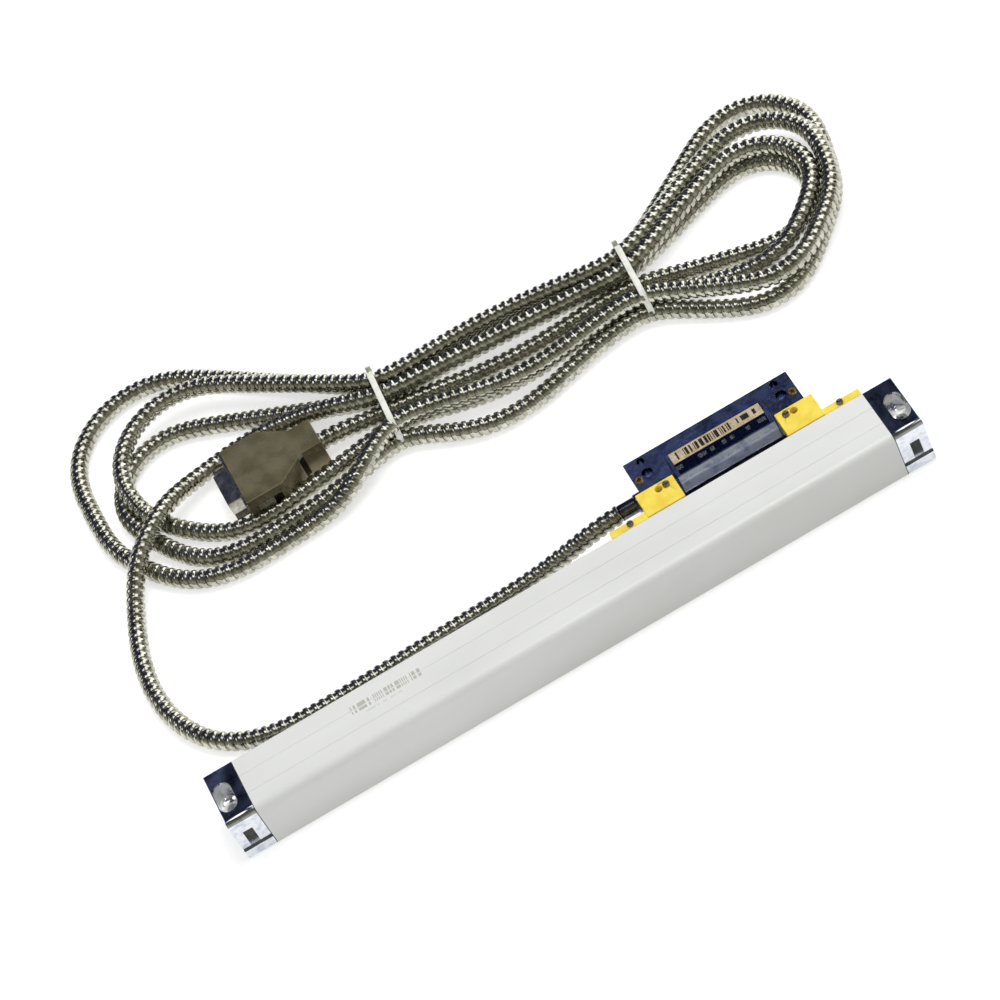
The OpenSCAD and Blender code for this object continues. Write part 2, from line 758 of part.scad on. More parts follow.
module bracket() {
    leg_x = bracket_x + bracket_leg_inset;
    leg_l = reader_l / 2 - leg_x;
    color("gold") difference() {
        union() {
            translate([bracket_x, bracket_y, plate_z])
                cube([bracket_l, reader_y + bracket_seat_w - bracket_y, bracket_t]);
            translate([leg_x, bracket_y, bracket_leg_z])
                cube([leg_l, reader_y - bracket_y, plate_z - bracket_leg_z + over]);
            translate([tab_x - over, bracket_y, tab_top_z - tab_t]) cube([tab_l + over, tab_w, tab_t]);
        }
        rod_z(bracket_screw_x, bracket_screw_y, plate_z - over, bracket_t + 2 * over, bracket_screw_r + fit);
        rod_z(bracket_hole_x, bracket_screw_y + 0.2, plate_z - over, bracket_t + 2 * over, bracket_hole_r);
        rod_z(tab_screw_x, bracket_y + tab_w / 2, tab_top_z - tab_t - over, tab_t + 2 * over,
            bracket_screw_r + fit);
    }
}

module bracket_right() { translate([reader_x, 0, 0]) bracket(); }
module bracket_left() { translate([reader_x, 0, 0]) mirror([1, 0, 0]) bracket(); }

module slotted_screw(x, y, seat_z, grip, head_r) {
    difference() {
        union() {
            rod_z(x, y, seat_z - grip, grip, bracket_screw_r);
            rod_z(x, y, seat_z, screw_head_h, head_r);
        }
        translate([x - head_r - over, y - screw_slot_w / 2, seat_z + screw_head_h / 2])
            cube([2 * (head_r + over), screw_slot_w, screw_head_h]);
    }
}

module bracket_screws() {
    color("dimgray") both_sides()
        slotted_screw(bracket_screw_x, bracket_screw_y, bracket_top_z, bracket_t + bracket_grip - 0.5,
            bracket_head_r);
}

module tab_screws() {
    color("dimgray") both_sides()
        slotted_screw(tab_screw_x, bracket_y + tab_w / 2, tab_top_z, tab_t + 2, bracket_head_r - 0.1);
}

// ---- cable ----

module cable_gland() {
    face_x = reader_x - reader_l / 2;
    color("slategray") difference() {
        union() {
            rod_x(face_x - gland_l, gland_l, gland_r, gland_y, gland_z);
            rod_x(face_x, 6, gland_bore_r - press, gland_y, gland_z);
            rod_x(face_x - 3, 3, gland_r + 0.6, gland_y, gland_z);
        }
        rod_x(face_x - gland_l - over, gland_l + 6 + 2 * over, 1.8, gland_y, gland_z);
    }
}

// Unit vector
function unit(v) = v / norm(v);

// Catmull-Rom point between b and c
function spline(a, b, c, d, t) =
    0.5 * (2 * b + (c - a) * t + (2 * a - 5 * b + 4 * c - d) * t * t + (3 * b - a - 3 * c + d) * t * t * t);

// Two middles per leg of a route, and its last point
function smooth(p) = let (n = len(p)) concat(
    [for (i = [0:n - 2]) for (t = [0, 0.5])
        spline(p[max(i - 1, 0)], p[i], p[i + 1], p[min(i + 2, n - 1)], t)],
    [p[n - 1]]);

// Direction of a route at point i; both ends keep the direction of their last leg
function heading(p, i) = unit(p[min(i + 1, len(p) - 1)] - p[max(i - 1, 0)]);

// One ring of points round a route, square to its heading, with a flat-lying cross vector
function ring(p, i, r, sides) = let (
    h = i == 0 ? [-1, 0, 0] : heading(p, i),
    across = unit(cross(h, [0, 0, 1])),
    up = cross(across, h)
) [for (k = [0:sides - 1]) p[i] + r * (cos(360 * k / sides) * across + sin(360 * k / sides) * up)];

module swept_tube(p, r, sides) {
    last = len(p) - 1;
    points = [for (i = [0:last]) each ring(p, i, r, sides)];
    walls = [for (i = [0:last - 1]) for (k = [0:sides - 1]) let (
        a = i * sides + k, b = i * sides + (k + 1) % sides
    ) each [[a, a + sides, b], [b, a + sides, b + sides]]];
    start = [for (k = [0:sides - 1]) k];
    end = [for (k = [sides - 1:-1:0]) last * sides + k];
    polyhedron(points, concat(walls, [start, end]), convexity = 10);
}

module hose_lead() {
    color("silver") swept_tube(smooth(lead_route), hose_r, lead_sides);
}

// A tie's own frame: X outwards along the run, Y across it towards the far side
module at_tie(tie, side) { translate(tie) rotate(run_angle) scale([side, 1]) children(); }

module discs(list, grow) {
    for (c = list) translate([c[0], c[1]]) circle(c[2] + grow, $fn = hank_fn);
}

module loop_plan(turns) {
    hull() {
        discs(turns, turn_cover);
        discs([lobe_root], 0);
    }
}

// A straight bar through both ties to the loops, and the slack turns between the ties
module bundle_plan() {
    translate([-lobe_root[0], -hank_w / 2]) square([run_l + 2 * lobe_root[0], hank_w]);
    hull() {
        translate([tie_head[0], -hank_w / 2]) square([run_l - 2 * tie_head[0], hank_w]);
        discs(bulge, 0);
    }
}

// From the end of the lead up to the left loop
module rise_plan() {
    path = smooth(lead_route);
    dir = heading(path, len(path) - 1);
    hull() {
        translate([last_of(path)[0], last_of(path)[1]]) rotate(atan2(dir[1], dir[0]))
            translate([0, -stub_w / 2]) square([hose_r, stub_w]);
        translate(rise[0]) circle(stub_w / 2, $fn = hank_fn);
    }
    hull() for (c = rise) translate(c) circle(stub_w / 2, $fn = hank_fn);
}

function last_of(p) = p[len(p) - 1];

module hank_plan() {
    difference() {
        union() {
            at_tie(tie_left, -1) loop_plan(left_turns);
            at_tie(tie_right, 1) loop_plan(right_turns);
            at_tie(tie_left, 1) bundle_plan();
            rise_plan();
        }
        at_tie(tie_right, 1) hull() discs(right_opening, 0);
        at_tie(tie_left, -1) {
            hull() discs(left_opening, 0);
            for (i = [1:len(crescent) - 1]) hull() discs([crescent[i - 1], crescent[i]], 0);
        }
        translate([flange_x - shell_l - 2.6, connector_y - flange_w / 2 - 1])
            square([connector_x - flange_x + shell_l + 2.6, flange_w + 2]);
    }
}

module hose_hank() {
    color("silver") difference() {
        linear_extrude(hank_h) hank_plan();
        for (c = [tie_left, tie_right]) translate([c[0], c[1], -over]) rotate(run_angle)
            translate([-tie_w / 2, -hank_w, 0]) cube([tie_w, 2 * hank_w, tie_t + over]);
    }
}

// A band round the bundle, its head on the far side, and the cut tail above the head
module zip_tie(c) {
    color("ivory") translate([c[0], c[1], 0]) rotate(run_angle) {
        difference() {
            translate([-tie_w / 2, -hank_w / 2 - tie_t, 0]) cube([tie_w, hank_w + 2 * tie_t, hank_h + tie_t]);
            translate([-tie_w / 2 - over, -hank_w / 2, tie_t])
                cube([tie_w + 2 * over, hank_w, hank_h - tie_t]);
        }
        translate([-tie_head[0] / 2, hank_w / 2, tie_t]) cube(tie_head);
        translate([-tie_w / 2, hank_w / 2 + tie_head[1] - tie_t, tie_t])
            cube([tie_w, tie_t, tie_head[2] + tie_tail_l]);
    }
}

module zip_tie_left() { zip_tie(tie_left); }
module zip_tie_right() { zip_tie(tie_right); }

// ---- connector ----

// Plan of the hood: wide ears at the flange, narrow nose at the cable
module hood_plan() {
    polygon([
        [0, -nose_w / 2], [0, nose_w / 2], [-nose_l, nose_w / 2], [-hood_l + ear_l + 8, flange_w / 2],
        [-hood_l + flange_t, flange_w / 2], [-hood_l + flange_t, -flange_w / 2],
        [-hood_l + ear_l + 8, -flange_w / 2], [-nose_l, -nose_w / 2]
    ]);
}

// The whole hood with its cable bore, jack screw slots and inner room
module hood_body() {
    translate([connector_x, connector_y, connector_z]) difference() {
        translate([0, 0, -hood_h / 2]) linear_extrude(hood_h) hood_plan();
        rod_x(-nose_l - over, nose_l + 2 * over, hose_r + press, 0, 0);
        translate([-hood_l + flange_t - over, -jack_y + jack_head_r + hood_wall / 2, -hood_h / 2 + hood_wall])
            cube([hood_l - flange_t + over - nose_l, 2 * (jack_y - jack_head_r) - hood_wall,
                hood_h - 2 * hood_wall]);
        for (side = [-1, 1]) {
            rod_x(-hood_l + flange_t - over, ear_l + over, jack_r + fit, side * jack_y, 0);
            rod_x(-hood_l + flange_t + 3, jack_slot_l, jack_head_r + 3 * fit, side * jack_y, 0);
            translate([-hood_l + flange_t + 3, side * jack_y + (side > 0 ? 0 : -5), -jack_head_r - 3 * fit])
                cube([jack_slot_l, 5, 2 * (jack_head_r + 3 * fit)]);
        }
    }
}

module connector_hood_lower() {
    color("gray") intersection() {
        hood_body();
        translate([flange_x - over, connector_y - flange_w, 0])
            cube([hood_l + 2 * over, 2 * flange_w, connector_z]);
    }
}

module connector_hood_upper() {
    color("gray") intersection() {
        hood_body();
        translate([flange_x - over, connector_y - flange_w, connector_z])
            cube([hood_l + 2 * over, 2 * flange_w, hood_h]);
    }
}

// D-shaped plan across the connector
module shell_plan(grow) {
    slant = 1.2;
    polygon([
        [-shell_w / 2 - grow, shell_h / 2 + grow], [shell_w / 2 + grow, shell_h / 2 + grow],
        [shell_w / 2 - slant + grow, -shell_h / 2 - grow], [-shell_w / 2 + slant - grow, -shell_h / 2 - grow]
    ]);
}

module connector_flange() {
    color("silver") translate([0, connector_y, connector_z]) difference() {
        union() {
            translate([flange_x, -flange_w / 2, -flange_h / 2]) cube([flange_t, flange_w, flange_h]);
            along_x(flange_x - shell_l, shell_l) shell_plan(0);
        }
        along_x(flange_x - shell_l - over, shell_l + flange_t + 2 * over) shell_plan(-shell_wall);
        for (side = [-1, 1]) rod_x(flange_x - over, flange_t + 2 * over, jack_r + fit, side * jack_y, 0);
    }
}

module connector_insert() {
    color("black") translate([0, connector_y, connector_z]) difference() {
        along_x(flange_x, flange_t + 5) shell_plan(-shell_wall);
        for (c = contacts()) rod_x(flange_x - over, flange_t + 5 + 2 * over, contact_r, c[0], c[1]);
    }
}

function contacts() = concat(
    [for (i = [-2:2]) [i * contact_pitch, contact_row / 2]],
    [for (i = [-1.5:1.5]) [i * contact_pitch, -contact_row / 2]]);

module connector_pins() {
    color("gold") for (c = contacts())
        rod_x(flange_x - shell_l + 1, shell_l + flange_t + 7, contact_r - press, connector_y + c[0],
            connector_z + c[1]);
}

module jack_screw(side) {
    head_x = flange_x + flange_t + 3 + 0.3;
    color("silver") {
        rod_x(flange_x - jack_reach, head_x - flange_x + jack_reach, jack_r, connector_y + side * jack_y,
            connector_z);
        translate([head_x, connector_y + side * jack_y, connector_z]) rotate([0, 90, 0]) difference() {
            cylinder(h = jack_head_l, r = jack_head_r);
            translate([-jack_head_r - over, -0.4, jack_head_l - 1]) cube([2 * (jack_head_r + over), 0.8, 1 + over]);
        }
    }
}

module jack_screw_left() { jack_screw(-1); }
module jack_screw_right() { jack_screw(1); }

housing_extrusion();
end_cap_left();
end_cap_right();
end_seal_left();
end_seal_right();
cap_screws();
glass_scale();
glass_wedge();
lip_seal_upper();
lip_seal_lower();
reader_housing();
reader_cover();
cover_seal();
cover_screws();
signal_board();
label_plate();
levelling_screws();
coupling_blade();
coupling_pin();
coupling_spring();
carriage_frame();
index_glass();
photodiode_board();
photodiodes();
lamp_board();
lamp_led();
bearing_pins();
face_bearing_left();
face_bearing_right();
face_bearing_middle();
edge_bearing_left();
edge_bearing_right();
bracket_left();
bracket_right();
bracket_screws();
tab_screws();
cable_gland();
hose_lead();
hose_hank();
zip_tie_left();
zip_tie_right();
connector_hood_lower();
connector_hood_upper();
connector_flange();
connector_insert();
connector_pins();
jack_screw_left();
jack_screw_right();
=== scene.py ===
import bpy
import bmesh
import itertools
import math
import numpy as np
from mathutils import Matrix, Vector


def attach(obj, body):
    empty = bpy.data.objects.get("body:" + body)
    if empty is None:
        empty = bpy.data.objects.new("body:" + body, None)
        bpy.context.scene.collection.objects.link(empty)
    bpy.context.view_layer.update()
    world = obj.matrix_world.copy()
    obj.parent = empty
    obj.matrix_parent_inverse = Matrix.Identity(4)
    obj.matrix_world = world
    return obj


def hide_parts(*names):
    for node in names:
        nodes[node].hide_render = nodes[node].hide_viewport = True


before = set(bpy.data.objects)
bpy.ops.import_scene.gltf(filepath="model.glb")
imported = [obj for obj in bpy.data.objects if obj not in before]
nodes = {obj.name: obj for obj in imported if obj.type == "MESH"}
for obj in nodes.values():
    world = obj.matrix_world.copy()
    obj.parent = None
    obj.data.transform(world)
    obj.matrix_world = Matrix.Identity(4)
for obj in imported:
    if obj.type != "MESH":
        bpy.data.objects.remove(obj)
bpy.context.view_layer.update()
mm = 0.001


# ---- Camera ----
# A long lens looks down at the scale from the front, turned so that the scale rises to the right. It
# stands about 1.5 m away, where parallel edges stay nearly parallel.
def studio_camera():
    place = (-0.03307, -0.88792, 1.15041)
    right = Vector((0.8641, -0.3978, -0.3083)).normalized()
    down = Vector((-0.5028, -0.655, -0.564))
    down = (down - down.dot(right) * right).normalized()
    turn = Matrix((right, -down, right.cross(-down))).transposed().to_4x4()
    data = bpy.data.cameras.new("studio_camera")
    data.lens = 140.4
    data.sensor_width = 36.0
    data.clip_end = 20.0
    camera = bpy.data.objects.new("studio_camera", data)
    camera.matrix_world = Matrix.Translation(place) @ turn
    bpy.context.scene.collection.objects.link(camera)
    bpy.context.scene.camera = camera


studio_camera()
bpy.context.scene.view_settings.view_transform = "Standard"


# ---- Studio ----
# A dim room behind the object, pale card in front, three round soft windows and a tall strip window at
# the right. Bright plating mirrors the room as dark blue bands and the windows as white glare. The two
# lamps are soft boxes that mirrors don't show.
def srgb(code):
    """Linear colour of a six digit sRGB code."""
    parts = [int(code[i:i + 2], 16) / 255 for i in (0, 2, 4)]
    return tuple(c / 12.92 if c <= 0.04045 else ((c + 0.055) / 1.055) ** 2.4 for c in parts) + (1.0,)


def join(tree, source, target):
    """Links a socket, or a node's first output in use, to an input."""
    if isinstance(source, bpy.types.Node):
        source = next(output for output in source.outputs if output.enabled)
    tree.links.new(source, target)


def add(tree, kind, inputs=(), **settings):
    """One shader node with its settings. An input is a value, a colour code, a node or a socket.
    They are named, or counted from 0; Mix has its share at 0 and its colours at 6 and 7."""
    made = tree.nodes.new("ShaderNode" + kind)
    for key, value in settings.items():
        setattr(made, key, value)
    for key, value in inputs.items() if isinstance(inputs, dict) else enumerate(inputs):
        if isinstance(value, (bpy.types.Node, bpy.types.NodeSocket)):
            join(tree, value, made.inputs[key])
        else:
            made.inputs[key].default_value = srgb(value) if isinstance(value, str) else value
    return made


def overlap(tree, *masks):
    """The product of masks: 1 where all of them are, weakened by a number among them."""
    made = masks[0]
    for mask in masks[1:]:
        made = add(tree, "Math", [made, mask], operation="MULTIPLY")
    return made


def studio_room():
    """What surrounds the object: the room in mirrors, a plain pale sky for its light, white in view."""
    world = bpy.data.worlds.new("studio")
    world.use_nodes = True
    bpy.context.scene.world = world
    tree = world.node_tree
    tree.nodes.clear()
    where = add(tree, "TexCoord").outputs["Generated"]
    x, y, z = add(tree, "SeparateXYZ", [where]).outputs
    soft = {"interpolation_type": "SMOOTHSTEP"}

    cloud = add(tree, "TexNoise", {"Vector": where, "Scale": 9.0, "Detail": 3.0})
    cloud = add(tree, "MapRange", [cloud, 0.42, 0.68], **soft)
    back = add(tree, "Mix", {0: cloud, 6: "10131F", 7: "5C6688"}, data_type="RGBA")
    level = add(tree, "MapRange", [z, 0.95, 0.25], **soft)
    card = add(tree, "Mix", {0: level, 6: "504F42", 7: "B6B6AA"}, data_type="RGBA")
    front = add(tree, "MapRange", [y, 0.1, -0.15], **soft)
    room = add(tree, "Mix", {0: front, 6: back, 7: card}, data_type="RGBA")

    # The strip window fades in and out along x, and ends softly towards the front
    fades = [(x, 0.28, 0.38), (x, 0.8, 0.7), (y, -0.35, 0.05)]
    glow = overlap(tree, *(add(tree, "MapRange", fade, **soft) for fade in fades))
    # Round windows: direction, and the angles at which their edge begins and ends to fade
    windows = (((0, 0.17, 0.98), 9, 14), ((0.72, 0.62, 0.3), 10, 16), ((-0.8, 0.35, 0.5), 7, 12))
    for direction, inner, outer in windows:
        facing = add(tree, "VectorMath", [where, Vector(direction).normalized()], operation="DOT_PRODUCT")
        edge = math.cos(math.radians(outer)), math.cos(math.radians(inner))
        pane = add(tree, "MapRange", [facing.outputs["Value"], *edge], **soft)
        glow = add(tree, "Math", [glow, pane], operation="MAXIMUM")
    glare = (2.2, 2.2, 2.2, 1)
    lit_room = add(tree, "Mix", {0: glow, 6: room, 7: glare}, data_type="RGBA")

    mirrored = add(tree, "Background", {"Color": lit_room, "Strength": 1.0})
    level = add(tree, "MapRange", [z, 0.0, 0.9, 0.12, 0.75], **soft)
    sky = add(tree, "Background", {"Color": "FFFFFF", "Strength": level})
    white = add(tree, "Background", {"Color": "FFFFFF", "Strength": 1.0})
    ray = add(tree, "LightPath").outputs
    unseen = add(tree, "MixShader", [ray["Is Glossy Ray"], sky, mirrored])
    in_view = add(tree, "Math", [ray["Is Camera Ray"], ray["Is Transmission Ray"]], operation="MAXIMUM")
    add(tree, "OutputWorld", [add(tree, "MixShader", [in_view, unseen, white])])


def soft_box(name, place, width, depth, power):
    """An area lamp aimed at the middle of the object."""
    data = bpy.data.lights.new(name, "AREA")
    data.shape = "RECTANGLE"
    data.size, data.size_y = width, depth
    data.energy = power
    lamp = bpy.data.objects.new(name, data)
    lamp.location = place
    lamp.visible_glossy = False
    lamp.rotation_euler = (Vector((0, 0.08, 0)) - Vector(place)).to_track_quat("-Z", "Y").to_euler()
    bpy.context.scene.collection.objects.link(lamp)


def floor_card():
    """White card that glows a little, except in the light it throws back on the object."""
    card = bpy.data.materials.new("floor_card")
    card.use_nodes = True
    tree = card.node_tree
    shader = tree.nodes["Principled BSDF"]
    shader.inputs["Base Color"].default_value = srgb("DADADA")
    shader.inputs["Roughness"].default_value = 0.8
    bounced = add(tree, "LightPath").outputs["Is Diffuse Ray"]
    strength = add(tree, "MapRange", [bounced, 0.0, 1.0, 0.55, 0.05], interpolation_type="SMOOTHSTEP")
    glow = add(tree, "Emission", {"Color": "FFFFFF", "Strength": strength})
    join(tree, add(tree, "AddShader", [shader, glow]), tree.nodes["Material Output"].inputs["Surface"])

    half, under = 6.0, 0.05 * mm
    data = bpy.data.meshes.new("floor_card")
    corners = [(-half, -half, 0), (half, -half, 0), (half, half, 0), (-half, half, 0)]
    data.from_pydata(corners, [], [(0, 1, 2, 3)])
    data.materials.append(card)
    floor = bpy.data.objects.new("floor_card", data)
    floor.location.z = -under
    bpy.context.scene.collection.objects.link(floor)


studio_room()
soft_box("overhead", (0.3, 0.25, 1.25), 0.9, 0.5, 7.6)
soft_box("left_fill", (-1.1, -0.5, 0.9), 0.7, 0.7, 0.8)
floor_card()


# ---- Housing extrusion ----
# One length of drawn aluminium, satin anodised, with two fine grooves along the top face. The pale grey
# bars on top are a printed lot mark, with a row of fainter dashes in front of it.
def surface(name, base, rough, metallic=0.0, **others):
    """A Principled material with its tree and shader."""
    made = bpy.data.materials.new(name)
    made.use_nodes = True
    tree = made.node_tree
    shader = tree.nodes["Principled BSDF"]
    shader.inputs["Base Color"].default_value = srgb(base)
    shader.inputs["Roughness"].default_value = rough
    shader.inputs["Metallic"].default_value = metallic
    for key, value in others.items():
        shader.inputs[key.replace("_", " ")].default_value = value
    return made, tree, shader


def place_of(tree, stretch=(1.0, 1.0, 1.0)):
    """Object position in millimetres, stretched for grain that runs one way."""
    where = add(tree, "TexCoord").outputs["Object"]
    return add(tree, "Mapping", {"Vector": where, "Scale": [s / mm for s in stretch]})


def speckle(tree, size, detail, stretch=(1.0, 1.0, 1.0)):
    """Noise whose blotches are about that many millimetres across."""
    return add(tree, "TexNoise", {"Vector": place_of(tree, stretch), "Scale": 1.0 / size, "Detail": detail})


def mottle(tree, shader, pattern, first, second, low=0.3, high=0.7):
    """Base colour that goes from one code to the other as the pattern rises from low to high."""
    share = add(tree, "MapRange", [pattern, low, high], interpolation_type="SMOOTHSTEP")
    colour = add(tree, "Mix", {0: share, 6: first, 7: second}, data_type="RGBA")
    join(tree, colour, shader.inputs["Base Color"])
    return colour


def gloss(tree, shader, pattern, polished, dull):
    """Roughness that goes between two values with the pattern."""
    rough = add(tree, "MapRange", [pattern, 0.3, 0.7, polished, dull], interpolation_type="SMOOTHSTEP")
    join(tree, rough, shader.inputs["Roughness"])


def relief(tree, shader, pattern, depth):
    """Hollows and ridges as deep as that many millimetres."""
    join(tree, add(tree, "Bump", {"Height": pattern, "Distance": depth * mm}), shader.inputs["Normal"])


def inside(tree, value, low, high):
    """1 where the value is between low and high."""
    above = add(tree, "Math", [value, low], operation="GREATER_THAN")
    return overlap(tree, above, add(tree, "Math", [value, high], operation="LESS_THAN"))


def printed_bars(tree, x, y, area, pitch, share):
    """1 on bars of uneven width inside an area given as left, right, near and far."""
    left, right, near, far = area
    step = add(tree, "Math", [add(tree, "Math", [x, pitch], operation="DIVIDE")], operation="FLOOR")
    chance = add(tree, "TexWhiteNoise", {"W": step}, noise_dimensions="1D")
    ink = add(tree, "Math", [chance, 1 - share], operation="GREATER_THAN")
    return overlap(tree, inside(tree, x, left, right), inside(tree, y, near, far), ink)


def dress(material, *names, edge=None):
    """These CAD nodes show that material; an edge rounds their corners by that many millimetres."""
    for name in names:
        data = nodes[name].data
        data.materials.clear()
        data.materials.append(material)
        if edge:
            weld = nodes[name].modifiers.new("weld", "WELD")
            weld.merge_threshold = 0.002 * mm
            bevel = nodes[name].modifiers.new("edge", "BEVEL")
            bevel.width = edge * mm
            bevel.segments = 2
            bevel.limit_method = "ANGLE"
            bevel.angle_limit = math.radians(40)
            bevel.harden_normals = False


def housing_extrusion():
    # Satin anodising: matt and pale, with faint die lines along the bar, drawn 0.3 mm wide to be seen
    alloy, tree, shader = surface("satin_anodised_aluminium", "E0E1DE", 0.5, 0.12)
    x, y, z = add(tree, "SeparateXYZ", [place_of(tree)]).outputs
    tone = mottle(tree, shader, speckle(tree, 40, 3, (0.4, 1, 1)), "EDEEEB", "E2E3DF")
    top_z = 24.4
    on_top = add(tree, "Math", [z, top_z], operation="GREATER_THAN")
    tall_bars = printed_bars(tree, x, y, (-88, -57, 2.6, 6.4), 0.42, 0.55)
    dashes = printed_bars(tree, x, y, (-84, -66, 0.6, 1.3), 0.8, 0.6)
    ink_strength, dash_strength = 0.6, 0.4
    lot_mark = add(tree, "Math", [tall_bars, overlap(tree, dashes, dash_strength)], operation="MAXIMUM")
    ink = overlap(tree, lot_mark, on_top, ink_strength)
    colour = add(tree, "Mix", {0: ink, 6: tone, 7: "9C9C90"}, data_type="RGBA")
    join(tree, colour, shader.inputs["Base Color"])
    die_lines = speckle(tree, 0.3, 4, (0.01, 1, 1))
    gloss(tree, shader, die_lines, 0.45, 0.58)
    relief(tree, shader, die_lines, 0.006)
    dress(alloy, "housing_extrusion", edge=0.12)


housing_extrusion()


# ---- End caps ----
# Zinc castings, chrome plated over a surface that was only lightly polished. Each carries an oblong
# counterbore with a mounting hole and a square pocket with ribbed walls, and is held by two screws.
def end_caps():
    # Bright chrome: dark where it mirrors the room. Its slow waves break up what it mirrors, and the
    # floor of the counterbore is hollow, with pale patches that are a painted reflection of white glare
    chrome, tree, shader = surface("chrome_on_zinc", "D6D8E0", 0.07, 1.0)
    x, y, z = add(tree, "SeparateXYZ", [place_of(tree)]).outputs
    hole_x, half_width, floor_z, below_top = 143.0, 7, 10, 23.6
    bore = overlap(tree, inside(tree, y, -half_width, half_width), inside(tree, z, floor_z, below_top))
    out = add(tree, "Math", [add(tree, "Math", [x], operation="ABSOLUTE"), hole_x], operation="SUBTRACT")
    square = add(tree, "Math", [overlap(tree, out, out), overlap(tree, y, y)], operation="ADD")
    from_hole = add(tree, "Math", [square], operation="SQRT")
    cone, lumps, waves = 0.28, 0.5, 0.1
    slope = overlap(tree, from_hole, cone)
    hollow = add(tree, "Math", [slope, overlap(tree, speckle(tree, 2.5, 0), lumps)], operation="ADD")
    wavy = overlap(tree, speckle(tree, 8, 0), waves)
    relief(tree, shader, add(tree, "Math", [wavy, overlap(tree, bore, hollow)], operation="ADD"), 1.0)

    share = add(tree, "MapRange", [speckle(tree, 3, 4), 0.4, 0.75], interpolation_type="SMOOTHSTEP")
    plated = add(tree, "Mix", {0: share, 6: "DADDE2", 7: "B6BCC8"}, data_type="RGBA")
    # Painted reflection: near-white, barely metallic patches on the counterbore floor stand in for glare
    patches = add(tree, "MapRange", [speckle(tree, 4.5, 1), 0.47, 0.51], interpolation_type="SMOOTHSTEP")
    painted_glare_patches = overlap(tree, bore, patches)
    colour = add(tree, "Mix", {0: painted_glare_patches, 6: plated, 7: "F4F4F2"}, data_type="RGBA")
    join(tree, colour, shader.inputs["Base Color"])
    metal = add(tree, "MapRange", [painted_glare_patches, 0.0, 1.0, 1.0, 0.15], interpolation_type="SMOOTHSTEP")
    join(tree, metal, shader.inputs["Metallic"])
    gloss(tree, shader, speckle(tree, 1.5, 4), 0.03, 0.12)
    dress(chrome, "end_cap_left", "end_cap_right", edge=0.22)


end_caps()


# ---- Seals and screws ----
# A die-cut rubber sheet lies under each cap and under the cover of the head, rubber lips close the slot
# of the housing, and a rubber wedge holds the glass in its groove. Zinc plated screws hold the caps and
# the cover.
def rubber():
    # Moulded rubber: almost black and matt, with a skin as fine as dust
    black, tree, shader = surface("moulded_rubber", "1B1B1C", 0.6, IOR=1.52)
    mottle(tree, shader, speckle(tree, 2, 4), "202021", "121213")
    gloss(tree, shader, speckle(tree, 0.6, 4), 0.5, 0.7)
    relief(tree, shader, speckle(tree, 0.15, 3), 0.01)
    dress(black, "end_seal_left", "end_seal_right", "lip_seal_upper", "lip_seal_lower", "glass_wedge",
          "cover_seal")


def plated_screws():
    # Zinc plate: a grey gleam with darker clouds from handling
    zinc, tree, shader = surface("zinc_plated_steel", "A7A6A2", 0.3, 1.0)
    mottle(tree, shader, speckle(tree, 0.8, 4), "B4B2AC", "77726A")
    gloss(tree, shader, speckle(tree, 0.3, 3), 0.2, 0.42)
    relief(tree, shader, speckle(tree, 0.12, 2), 0.006)
    dress(zinc, "cap_screws", "cover_screws", edge=0.1)


rubber()
plated_screws()


# ---- Glass scale ----
# A ground and polished glass strip with a track of fine chrome lines on the face towards the reader, and
# a short index glass of the same kind that reads it.
def glass_scale():
    # Clear glass: nearly colourless, with a grey band where the lines run. The real lines are too fine to
    # see, and are drawn 0.4 mm apart so that they show
    clear, tree, shader = surface("graduated_glass", "EAF4F2", 0.03, 0.0, IOR=1.52, Transmission_Weight=1.0)
    x, _, z = add(tree, "SeparateXYZ", [place_of(tree)]).outputs
    line_pitch, track_low, track_high = 0.4, 7.5, 10.5
    step = add(tree, "Math", [add(tree, "Math", [x, line_pitch], operation="DIVIDE")], operation="FRACT")
    lines = add(tree, "Math", [step, 0.5], operation="GREATER_THAN")
    track = overlap(tree, lines, inside(tree, z, track_low, track_high))
    colour = add(tree, "Mix", {0: track, 6: "EAF4F2", 7: "5A6468"}, data_type="RGBA")
    join(tree, colour, shader.inputs["Base Color"])
    gloss(tree, shader, speckle(tree, 4, 3), 0.01, 0.06)
    dress(clear, "glass_scale", "index_glass", edge=0.15)


glass_scale()


